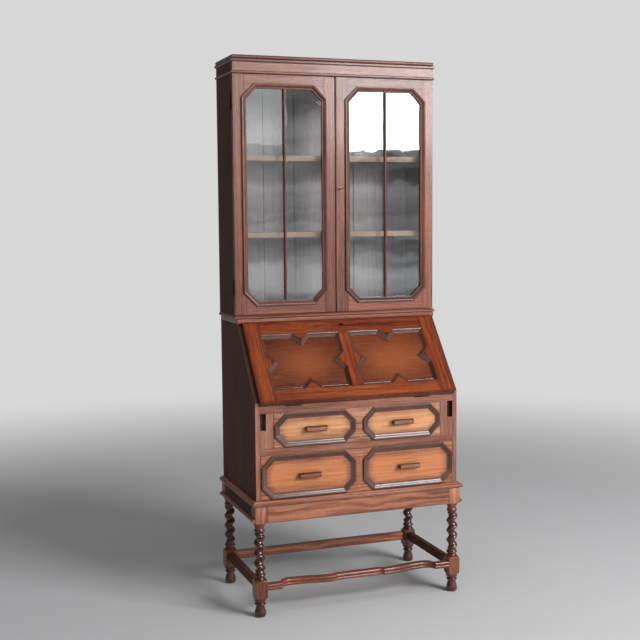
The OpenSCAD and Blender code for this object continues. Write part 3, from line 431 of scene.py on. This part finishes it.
boards = {
    "caseOak": ["case_bottom", "cornice_frieze", "cornice_mouldings", "case_top", "case_base_moulding",
                "door_left_frame", "door_right_frame"],
    "railOak": ["bed_rail", "front_stiles", "drawer_rail", "stand_mouldings"],
    "slotOak": ["loper_left", "loper_right"],
    "friezeOak": ["stand_rail_front", "stand_rail_back", "stretcher_back"],
    # painted shade on the boards that face sideways
    "sideOak": ["bureau_side_left", "bureau_side_right", "case_side_left", "case_side_right",
                "stand_rails_side", "stretchers_side"],
    "stretcherOak": ["bureau_top", "writing_bed"],
    "backOak": ["case_back"],
    "insideOak": ["bureau_back", "bureau_bottom", "drawer_runners", "upper_drawer_box",
                  "lower_drawer_box", "shelf_battens", "pigeonholes"],
    "shelfOak": ["shelf_upper", "shelf_lower"],
    "pullOak": ["upper_drawer_pulls", "lower_drawer_pulls"]}


# Faces that look one way take another finish, which paints light and shade by the way a face is turned
def refinish(piece, finish, direction):
    piece.data.materials.append(finishes[finish])
    for f in piece.data.polygons:
        if f.normal.dot(direction) > 0.9:
            f.material_index = len(piece.data.materials) - 1


for finish, nodes in boards.items():
    for node in nodes:
        piece = boardPiece(node, finish, 1.4 * mm if finish == "pullOak" else 0.9 * mm)
        # the sides carry painted shade, and their front faces take the unshaded front finish
        if node.startswith(("bureau_side", "case_side")) or node.endswith("pulls"):
            # the pulls' front faces take the lighter rail finish as a painted sheen
            refinish(piece, "caseOak" if node.startswith("case") else "railOak", Vector((0, -1, 0)))
fall = boardPiece("fall_frame", "fallOak", axes=fallAxes)
# painted shadow: the fall's down-facing lower edge takes the darker pull finish
refinish(fall, "pullOak", -fallAxes[1])
# painted shade: the fall's left-facing edge takes the shaded side finish
refinish(fall, "sideOak", -fallAxes[0])
boardPiece("fall_panels", "panelOak", axes=fallAxes)
print("boards made")


# Mitred mouldings
# Each length is a prism of the section, cut at both ends through the corner's bisector.
# The outline runs with its inside on the left; a section's points are (inward, outward).
def mouldingRun(bm, name, outline, section, place, closed=True):
    dice = random.Random(name)
    turn = place.to_3x3()
    out = turn @ Vector((0, 0, 1))
    count = len(outline)
    points = [Vector((p[0], p[1], 0)) for p in outline]
    for i in range(count if closed else count - 1):
        start, end = points[i], points[(i + 1) % count]
        along = (end - start).normalized()
        inward = Vector((-along.y, along.x, 0))
        before = (start - points[i - 1]).normalized() if closed or i else along
        after = (points[(i + 2) % count] - end).normalized() if closed or i < count - 2 else along
        spare = along * (60 * mm)
        verts = [bm.verts.new(place @ (start - spare + inward * u + Vector((0, 0, h)))) for u, h in section]
        face = bm.faces.new(verts)
        grown = bmesh.ops.extrude_face_region(bm, geom=[face])["geom"]
        moved = [g for g in grown if isinstance(g, bmesh.types.BMVert)]
        bmesh.ops.translate(bm, verts=moved, vec=turn @ (end - start + spare * 2))
        arm = verts + moved
        for corner, other, side in ((start, before, -1), (end, after, 1)):
            faces = once(f for v in arm for f in v.link_faces)
            edges = once(e for v in arm for e in v.link_edges)
            cut = bmesh.ops.bisect_plane(
                bm, geom=arm + edges + faces, dist=1e-7, plane_co=place @ corner,
                plane_no=turn @ ((along + other).normalized() * side), clear_outer=True)
            rim = [g for g in cut["geom_cut"] if isinstance(g, bmesh.types.BMEdge)]
            bmesh.ops.holes_fill(bm, edges=rim, sides=0)
            arm = once([v for v in arm if v.is_valid] + [v for e in rim for v in e.verts])
        bmesh.ops.recalc_face_normals(bm, faces=once(f for v in arm for f in v.link_faces))
        setGrain(bm, arm, turn @ along, out, dice.random())


def octagon(low, high, cut):
    (a, b), (c, d) = low, high
    return [(a + cut, b), (c - cut, b), (c, b + cut), (c, d - cut),
            (c - cut, d), (a + cut, d), (a, d - cut), (a, b + cut)]


# A run drawn in X and Z that stands out towards the front
def towardsFront(y):
    return Matrix(((1, 0, 0, 0), (0, 0, -1, y), (0, 1, 0, 0), (0, 0, 0, 1)))


# inward, outward in mm: a flat fillet, a step, an ogee and a small bead beside the panel
drawerTrim = {"cut": 40 * mm, "middle": 15 * mm,
              "section": [(0, 0), (0, 7.3), (0.3, 7.8), (0.9, 8), (4.2, 8), (4.8, 7.7), (5, 6.7), (6, 6.5),
                          (7.6, 6), (9.4, 5), (11.4, 3.7), (13.4, 2.6), (15.4, 1.8), (17.6, 1.3),
                          (19.6, 1.1), (20, 0.7), (20, 0)]}
# dark, middle and light of the corners, then the worn field and its margin
drawerTones = {
    "upper": (rgb(84, 44, 28), rgb(166, 112, 82), rgb(212, 160, 124), rgb(228, 162, 100), rgb(158, 120, 98)),
    "lower": (rgb(78, 38, 24), rgb(156, 94, 64), rgb(200, 142, 106), rgb(222, 138, 78), rgb(150, 106, 86))}
for level in ("upper", "lower"):
    low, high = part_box(level + "_drawer_mouldings")
    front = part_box(level + "_drawer_front")[0].y
    bm = newMesh()
    for side in (1, -1):
        edges = sorted((side * drawerTrim["middle"], side * high.x))
        mouldingRun(bm, f"{level}{side}", octagon((edges[0], low.z), (edges[1], high.z), drawerTrim["cut"]),
                    [(u * mm, h * mm) for u, h in drawerTrim["section"]], towardsFront(front))
    makePiece(level + "DrawerMouldings", bm, "darkMouldingOak", level + "_drawer", "oak_dark",
              [level + "_drawer_mouldings"], crease=28)

    across, up = (high.x - drawerTrim["middle"]) / 2, (high.z - low.z) / 2
    finishes[level + "Drawer"] = oak(
        level + "DrawerOak", *drawerTones[level][:3], edgeDark=0.3, edgeWidth=5 * mm,
        ringScale=24, fleck=0.15, coat=0.1,
        field=drawerField(across, up, drawerTrim["cut"], drawerTrim["middle"] + across, (high.z + low.z) / 2,
                          *drawerTones[level][3:]))
    boardPiece(level + "_drawer_front", level + "Drawer", 0.8 * mm)
print("drawers made")

# inward, outward in mm: the same fillet and ogee, then a rebate that holds the glass
doorTrim = {"cut": 50 * mm, "bar": 11 * mm, "glassIn": 8 * mm, "width": 19 * mm,
            "section": [(0, 0), (0, 6.2), (0.5, 6.8), (1.1, 7), (3.4, 7), (3.9, 6.7), (4.1, 5.9),
                        (5.2, 5.8), (6.8, 5.4), (8.6, 4.4), (10.4, 2.9), (12.2, 1.3), (14, 0.2),
                        (15.4, -0.4), (15.6, -0.9), (16.6, -0.7), (17.8, -0.9), (18.6, -1.5),
                        (19, -2.4), (19, -7.8), (10.4, -7.8), (10.4, 0)],
            "barSection": [(-5.5, -7.8), (-5.5, -4.6), (-4.6, -2.9), (-3.2, -1.2), (-1.6, 0.2), (-1.1, 0.9),
                           (1.1, 0.9), (1.6, 0.2), (3.2, -1.2), (4.6, -2.9), (5.5, -4.6), (5.5, -7.8)]}
for side in ("left", "right"):
    low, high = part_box(f"door_{side}_moulding")
    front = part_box(f"door_{side}_frame")[0].y
    bm = newMesh()
    mouldingRun(bm, side + "Door", octagon((low.x, low.z), (high.x, high.z), doorTrim["cut"]),
                [(u * mm, h * mm) for u, h in doorTrim["section"]], towardsFront(front))
    middle, inset = (low.x + high.x) / 2, doorTrim["width"] - 1 * mm
    mouldingRun(bm, side + "Bar", [(middle, low.z + inset), (middle, high.z - inset)],
                [(u * mm, h * mm) for u, h in doorTrim["barSection"]], towardsFront(front), closed=False)
    makePiece(side + "DoorMouldings", bm, "mouldingOak", side + "_door", "oak_dark",
              [f"door_{side}_moulding"], crease=28)

# the right door has a slim bead up its meeting edge
bead = {"width": 8 * mm,
        "section": [(0, -0.2), (0, 0.2), (0.9, 0.3), (1.3, 1), (2.4, 1.5), (4, 1.7), (5.6, 1.5), (7, 0.9),
                    (8, 0), (8, -0.2)]}
low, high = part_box("door_right_frame")
bm = newMesh()
mouldingRun(bm, "bead", [(low.x + bead["width"], low.z), (low.x + bead["width"], high.z)],
            [(u * mm, h * mm) for u, h in bead["section"]], towardsFront(low.y), closed=False)
makePiece("meetingBead", bm, "mouldingOak", "right_door", "oak_dark", crease=28)
print("door mouldings made")

fallTrim = {"section": [(0.2, -11), (0.2, 0.3), (0.6, 0.9), (1.4, 1), (2.6, 1), (3.1, 0.6), (3.3, -0.3),
                        (4.4, -0.5), (5.8, -1.3), (7.2, -2.8), (8.6, -4.8), (10, -6.6), (11.4, -7.9),
                        (12.6, -8.6), (12.9, -9.2), (13.8, -8.9), (14.9, -9.2), (15.7, -10), (16, -11)]}
bm = newMesh()
x0, x1 = fallShape["panelX"]
z0, z1 = fallShape["panelUp"]
mx, mz, h, d = (x0 + x1) / 2, (z0 + z1) / 2, fallShape["notchHalf"], fallShape["notchDeep"]
star = [(x0, z0), (mx - h, z0), (mx, z0 + d), (mx + h, z0), (x1, z0), (x1, mz - h), (x1 - d, mz),
        (x1, mz + h), (x1, z1), (mx + h, z1), (mx, z1 - d), (mx - h, z1), (x0, z1), (x0, mz + h),
        (x0 + d, mz), (x0, mz - h)]
face = slope @ Matrix.Translation((0, 0, fallShape["thickness"]))
for side in (1, -1):
    outline = star if side == 1 else [(-x, z) for x, z in reversed(star)]
    mouldingRun(bm, f"fall{side}", outline, [(u * mm, h * mm) for u, h in fallTrim["section"]], face)
makePiece("fallMouldings", bm, "darkMouldingOak", "fall", "oak_dark", ["fall_mouldings"], crease=28)
print("fall mouldings made")

# Turned legs
# in mm from the floor: the height that each part takes, then radii against height.
# The twist is a round section that winds up off the axis and fades into the neck at both ends.
legShape = {"square": 22.5, "corner": 1.385, "around": 76, "neck": 16.2, "warmFrom": 318,
            "pitch": 37.5, "round": 16.5, "throw": 4.5, "run": 9, "phase": {"left": 110, "right": 347},
            "shoulder": {"height": 11, "radius": 21.8, "swell": 11.5, "power": 1.6},
            "reach": {"foot": (0, 44), "lowerRings": (44, 67), "block": (67, 135), "collar": (135, 163),
                      "twist": (163, 306), "cup": (306, 342), "top": (342, 404)},
            "foot": [(0, 14.2), (1.2, 16.6), (4, 19.2), (12, 21), (21, 20), (33, 16.5), (40, 15), (44, 15)],
            "lowerRings": [(44, 17.4), (45.2, 19.2), (47.5, 20), (49.8, 19.2), (51, 17.6), (52.4, 15.5),
                           (55.5, 15.5), (57, 19.6), (59, 21), (63, 21.5), (67, 21.8)],
            "collar": [(135, 19.2), (137, 20.3), (139.4, 20), (142.2, 17.4), (144.2, 16), (146.8, 16),
                       (148.4, 18.8), (150.4, 20.5), (153, 20.5), (155.6, 19.4), (158.5, 16.8), (163, 16.2)],
            "cup": [(306, 16.2), (309.6, 16.5), (311, 18.4), (313, 19.2), (316, 19.2), (317.8, 18.2),
                    (320.4, 16.6), (324, 16.5), (328.3, 17.5), (335.5, 20), (339, 21.2), (342, 21.8)]}


def turned(points, z):
    # a smooth curve through the points
    for i in range(len(points) - 1):
        if z <= points[i + 1][0] + 1e-6:
            break
    (za, ra), (zb, rb) = points[i], points[i + 1]
    zo, ro = points[max(i - 1, 0)]
    zn, rn = points[min(i + 2, len(points) - 1)]
    t = (z - za) / (zb - za)
    ma, mb = (rb - ro) / (zb - zo) * (zb - za), (rn - ra) / (zn - za) * (zb - za)
    return ((2 * t ** 3 - 3 * t ** 2 + 1) * ra + (t ** 3 - 2 * t ** 2 + t) * ma
            + (3 * t ** 2 - 2 * t ** 3) * rb + (t ** 3 - t ** 2) * mb)


def legRadius(part, z, angle, phase):
    flat = legShape["square"] / max(abs(math.cos(angle)), abs(math.sin(angle)))
    flat = min(flat, legShape["square"] * legShape["corner"])
    low, high = legShape["reach"][part]
    if part == "twist":
        turn = angle - math.radians(phase) + math.tau * (z - low) / legShape["pitch"]
        ridge = (legShape["throw"] * math.cos(turn)
                 + math.sqrt(legShape["round"] ** 2 - (legShape["throw"] * math.sin(turn)) ** 2))
        s = min(1, min(z - low, high - z) / legShape["run"])
        s = s * s * (3 - 2 * s)
        return legShape["neck"] + (ridge - legShape["neck"]) * s
    if part == "block":
        shoulder = legShape["shoulder"]
        s = max(0.0, 1 - min(z - low, high - z) / shoulder["height"])
        return min(flat, shoulder["radius"] + shoulder["swell"] * (1 - s ** shoulder["power"]))
    if part == "top":
        return flat
    return turned(legShape[part], z)


def levels(low, high, step):
    n = max(1, round((high - low) / step))
    return [low + (high - low) * i / n for i in range(n + 1)]


def partLevels(part, step, ends=0.0):
    low, high = legShape["reach"][part]
    return [(part, z) for z in levels(low + ends, high - ends, step)]


# close together where the block's shoulders curve, and far apart along its flat faces
def blockLevels():
    low, high = legShape["reach"]["block"]
    curve = legShape["shoulder"]["height"]
    heights = (levels(low, low + curve, 1) + levels(low + curve + 1, high - curve - 1, 11)
               + levels(high - curve, high, 1))
    return [("block", z) for z in heights]


def topLevels(worn=0.8):
    low, high = legShape["reach"]["top"]
    return [("top", z) for z in (low, low + worn, (low + high) / 2, high - worn, high)]


legLevels = (partLevels("foot", 1.4) + partLevels("lowerRings", 0.9) + blockLevels()
             + partLevels("collar", 0.9) + partLevels("twist", 1.5, 0.4) + partLevels("cup", 1)
             + topLevels())


def makeLeg(row, side, flipX, flipY):
    node = f"leg_{row}_{side}"
    low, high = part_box(node)
    centre = (low + high) / 2
    bm = newMesh()
    count = legShape["around"]
    ring = bmesh.ops.create_circle(bm, segments=count, radius=1)["verts"]
    ring.sort(key=lambda v: math.atan2(v.co.y, v.co.x) % math.tau)
    bmesh.ops.contextual_create(bm, geom=ring)
    angles = [math.tau * i / count for i in range(count)]
    # corners of the square fall on vertices
    angles = [round(a / (math.pi / 4)) * math.pi / 4 if abs((a / (math.pi / 4)) % 1 - 0.5) > 0.45 else a
              for a in angles]
    edges = [e for v in ring for e in v.link_edges if e.other_vert(v) in ring]
    for i, (part, z) in enumerate(legLevels):
        if i:
            grown = bmesh.ops.extrude_edge_only(bm, edges=once(edges))["geom"]
            edges = [g for g in grown if isinstance(g, bmesh.types.BMEdge)]
            below, ring = ring, []
            fresh = {g for g in grown if isinstance(g, bmesh.types.BMVert)}
            for v in below:
                ring.append(next(e.other_vert(v) for e in v.link_edges if e.other_vert(v) in fresh))
            edges = [e for e in edges if all(v in fresh for v in e.verts)]
        shrink = 0.6 if part == "top" and z in legShape["reach"]["top"] else 0
        for v, a in zip(ring, angles):
            r = (legRadius(part, z, a, legShape["phase"][side]) - shrink) * mm
            v.co = (centre.x + r * math.cos(a) * flipX, centre.y + r * math.sin(a) * flipY, z * mm)
    bmesh.ops.contextual_create(bm, geom=ring)
    bmesh.ops.recalc_face_normals(bm, faces=bm.faces)
    setGrain(bm, list(bm.verts), (0, 0, 1), (0, 1, 0), random.Random(node).random())
    leg = makePiece(camel(node), bm, "legOak", "root", "oak_dark", [node], crease=38, weighted=False)
    # the squares and the front cups are a warmer brown than the turned work
    for finish in ("friezeOak", "warmLegOak"):
        leg.data.materials.append(finishes[finish])
    squareFrom, (blockLow, blockHigh) = legShape["reach"]["top"][0], legShape["reach"]["block"]
    for f in leg.data.polygons:
        z = f.center.z / mm
        if z > squareFrom + 0.2:
            f.material_index = 1
        elif blockLow - 0.5 < z < blockHigh + 0.2 or (flipY > 0 and z > legShape["warmFrom"]):
            f.material_index = 2


for row, flipY in (("front", 1), ("back", -1)):
    for side, flipX in (("left", 1), ("right", -1)):
        makeLeg(row, side, flipX, flipY)
print("legs made")

# Serpentine stretcher
# front edge from the middle to a leg, in mm behind the leg's face; section is (back, up)
serpentine = {"middle": 76, "nose": 98, "hollow": 262, "stub": 302, "end": 357,
              "middleBack": 17, "noseBack": 9, "deep": 28,
              "section": [(1.4, 0.6), (0.4, 1.6), (0, 3), (0, 8.4), (0.8, 9.6), (2.6, 10.2), (2.8, 11.2),
                          (1.6, 12), (0.6, 13.6), (0.1, 16), (0.3, 19), (1.3, 21.6), (3.0, 23.2), (5, 24),
                          (22.6, 24), (24, 22.6), (24, 1.2), (22.8, 0)]}


def quarterArc(u):
    return 1 - math.sqrt(max(0.0, 1 - u * u))


def serpentineBack(x):
    s, x = serpentine, abs(x)
    if x < s["middle"]:
        return s["middleBack"]
    if x < s["nose"]:
        u = (x - s["middle"]) / (s["nose"] - s["middle"])
        return s["middleBack"] + (s["noseBack"] - s["middleBack"]) * quarterArc(u)
    if x < s["hollow"]:
        u = (x - s["nose"]) / (s["hollow"] - s["nose"])
        return s["noseBack"] + (s["deep"] - s["noseBack"]) * (0.5 - 0.5 * math.cos(math.pi * u))
    if x < s["stub"]:
        return s["deep"] * (1 - quarterArc((x - s["hollow"]) / (s["stub"] - s["hollow"])))
    return 0.0


bm = newMesh()
low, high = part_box("stretcher_front")
middle, nose, hollow, stub, end = (serpentine[k] for k in ("middle", "nose", "hollow", "stub", "end"))
stations = ([0, 40, middle - 2] + levels(middle, nose, 1.6) + levels(nose + 0.5, hollow, 6)
            + levels(hollow + 1, stub, 2) + [stub + 0.5, 330, end])
stations = sorted({side * x for side in (-1, 1) for x in stations})
ring = [bm.verts.new((stations[0] * mm, low.y + (serpentineBack(stations[0]) + back) * mm, low.z + up * mm))
        for back, up in serpentine["section"]]
cap = bm.faces.new(ring)
for x in stations[1:]:
    edges = [bm.edges.get((a, b)) for a, b in zip(ring, ring[1:] + ring[:1])]
    grown = bmesh.ops.extrude_edge_only(bm, edges=edges)["geom"]
    fresh = {g for g in grown if isinstance(g, bmesh.types.BMVert)}
    ring = [next(e.other_vert(v) for e in v.link_edges if e.other_vert(v) in fresh) for v in ring]
    for v, (back, up) in zip(ring, serpentine["section"]):
        v.co = (x * mm, low.y + (serpentineBack(x) + back) * mm, low.z + up * mm)
bm.faces.new(ring)
bmesh.ops.recalc_face_normals(bm, faces=bm.faces)
makePiece("serpentineStretcher", bm, "stretcherOak", "root", "oak_red", ["stretcher_front"],
          crease=34, weighted=False)
print("stretcher made")

# Brass, iron and glass
fittings = {"glass": ["door_left_glass", "door_right_glass"],
            "darkBrass": ["fall_hinges_fixed", "fall_hinges", "door_hinges_fixed", "door_left_hinges",
                          "door_right_hinges", "fall_lock"]}
for node, finish in [(node, finish) for finish, nodes in fittings.items() for node in nodes]:
    slots = frame["nodes"][node].data.materials
    slots.clear()
    slots.append(finishes[finish])

# The escutcheon is a narrow oval, and the key has a round bow with an eye
key = {"at": Vector((16.5, -5, 1521.6)) * mm, "bow": 6.2 * mm, "wire": 1.7 * mm, "oval": 0.74,
       "hole": 2.5 * mm, "plateBack": 15 * mm,
       "shank": [(1.2, 1.6), (3.2, 1.6), (3.4, 2.0), (4.6, 2.0), (4.8, 1.7), (6.4, 1.7), (6.6, 2.0),
                 (7.2, 2.0), (7.4, 1.8), (37, 1.8)]}
bm = cadCopy("door_lock")
for v in bm.verts:
    reach = math.hypot(v.co.x - key["at"].x, v.co.z - key["at"].z)
    if v.co.y < key["plateBack"] and reach > key["hole"]:
        v.co.x = key["at"].x + (v.co.x - key["at"].x) * key["oval"]
roundEdges(bm, 0.3 * mm)
makePiece("doorLock", bm, "brass", bodyOf["door_lock"], slotOf["door_lock"], ["door_lock"])
bm = newMesh()
ring = bmesh.ops.create_circle(bm, segments=14, radius=key["wire"], matrix=Matrix.Translation(
    key["at"] + Vector((key["bow"], 0, 0))) @ Matrix.Rotation(math.pi / 2, 4, "X"))["verts"]
bmesh.ops.spin(bm, geom=ring + once(e for v in ring for e in v.link_edges), cent=key["at"], axis=(0, 0, 1),
               angle=math.tau, steps=40, use_merge=True)
profile = [bm.verts.new((key["at"].x + r * mm, y * mm, key["at"].z)) for y, r in key["shank"]]
profile = ([bm.verts.new((key["at"].x, key["shank"][0][0] * mm, key["at"].z))] + profile
           + [bm.verts.new((key["at"].x, key["shank"][-1][0] * mm, key["at"].z))])
edges = [bm.edges.new(pair) for pair in zip(profile, profile[1:])]
bmesh.ops.spin(bm, geom=profile + edges, cent=key["at"], axis=(0, 1, 0), angle=math.tau, steps=24,
               use_merge=True)
bmesh.ops.remove_doubles(bm, verts=bm.verts, dist=1e-6)
bmesh.ops.recalc_face_normals(bm, faces=bm.faces)
makePiece("doorKey", bm, "iron", "key", slotOf["door_key"], ["door_key"], weighted=False)
print("metal and glass finished")

# Floor, light and camera
floorShape = {"half": 14, "fadeFrom": 1.6, "fadeTo": 5.0}
floorFinish = newFinish("floorFinish")
place = floorFinish.own()
tuft = floorFinish.noise(place, 260.0, 3, 0.6)
cloud = floorFinish.noise(place, 1.6, 3)
bump = floorFinish.node("ShaderNodeBump", {}, {"Strength": 0.3, "Distance": 0.002, "Height": tuft})
floorColour = floorFinish.mix((0.50, 0.50, 0.505, 1), (0.58, 0.58, 0.585, 1), tuft * 0.5 + cloud * 0.5)
away = floorFinish.node("ShaderNodeVectorMath", {"operation": "LENGTH"}, {0: place}, out=1)
floorFinish.surface(floorFinish.node("ShaderNodeBsdfPrincipled", {}, {
    "Base Color": floorColour, "Roughness": 0.9, "Normal": bump,
    "Alpha": 1 - floorFinish.rise(away, floorShape["fadeFrom"], floorShape["fadeTo"])}))
bm = bmesh.new()
bmesh.ops.create_grid(bm, x_segments=1, y_segments=1, size=floorShape["half"])
floorMesh = bpy.data.meshes.new("floor")
bm.to_mesh(floorMesh)
bm.free()
floor = bpy.data.objects.new("floor", floorMesh)
scene.collection.objects.link(floor)
floorMesh.materials.append(floorFinish.owner)

# Pale to the camera. As light it is stronger in front, weak above, and broken into soft bands
room = {"seen": (0.68, 0.68, 0.68, 1), "light": (0.93, 0.96, 1.0, 1), "least": 0.2, "front": 0.7,
        "from": (0.35, -0.9, 0.1)}
world = Finish(bpy.data.worlds.new("room"))
scene.world = world.owner
seenRay = world.node("ShaderNodeLightPath", out=0)
towards = world.node("ShaderNodeTexCoord", out=0)
rise = world.split(towards)[2]
facing = world.node("ShaderNodeVectorMath", {"operation": "DOT_PRODUCT"},
                    {0: towards, 1: room["from"]}, out=1)
bands = world.noise(world.stretch(towards, (2.5, 2.5, 34)), 1.0, 4, 0.6, 0.6)
front = world.rise(facing, -0.1, 0.95) * (room["front"] - room["least"]) + room["least"]
overhead = 1 - world.rise(rise, 0.15, 0.75) * 0.85
banded = world.rise(bands, 0.35, 0.65) * 1.5 + 0.3
below = world.rise(rise * -1, 0.0, 0.1) * 0.9 + 0.9
glow = front * overhead * banded * below
world.node("ShaderNodeOutputWorld", {}, {"Surface": world.node("ShaderNodeMixShader", {}, {
    0: seenRay, 1: world.node("ShaderNodeBackground", {}, {"Color": room["light"], "Strength": glow}),
    2: world.node("ShaderNodeBackground", {}, {"Color": room["seen"], "Strength": 1})})}, out=None)

lamps = {"window": {"at": (2.65, -4.2, 3.0), "size": (2.3, 2.2), "watts": 320, "colour": (0.99, 0.99, 1)},
         "sidelight": {"at": (0.95, -4.2, 2.5), "size": (0.5, 1.1), "watts": 2.5, "colour": (0.95, 0.98, 1)},
         "above": {"at": (0.2, -0.6, 4.6), "size": (4.5, 4.5), "watts": 80, "colour": (1, 1, 1)}}
lampAim = Vector((0, 0, 1))
for name, lamp in lamps.items():
    data = bpy.data.lights.new(name, "AREA")
    data.shape, data.size, data.size_y = "RECTANGLE", *lamp["size"]
    data.energy, data.color = lamp["watts"], lamp["colour"]
    light = bpy.data.objects.new(name, data)
    light.location = lamp["at"]
    light.visible_glossy = name != "above"
    light.rotation_euler = (lampAim - Vector(lamp["at"])).to_track_quat("-Z", "Y").to_euler()
    scene.collection.objects.link(light)

view = {"at": (-1.49297, -3.88566, 1.42139), "turn": 20.08, "tilt": -5.36, "roll": -0.46, "lens": 62.45}
yaw, pitch, roll = (math.radians(view[k]) for k in ("turn", "tilt", "roll"))
ahead = Vector((math.sin(yaw) * math.cos(pitch), math.cos(yaw) * math.cos(pitch), math.sin(pitch)))
right = Vector((math.cos(yaw), -math.sin(yaw), 0))
above = right.cross(ahead)
acrossAxis = right * math.cos(roll) + above * math.sin(roll)
upAxis = above * math.cos(roll) - right * math.sin(roll)
cameraData = bpy.data.cameras.new("camera")
cameraData.sensor_width, cameraData.lens = 36, view["lens"]
camera = bpy.data.objects.new("camera", cameraData)
aim = Matrix((acrossAxis, upAxis, -ahead)).transposed().to_4x4()
camera.matrix_world = Matrix.Translation(view["at"]) @ aim
scene.collection.objects.link(camera)
scene.camera = camera
scene.view_settings.view_transform = "Standard"
print("camera and light set")
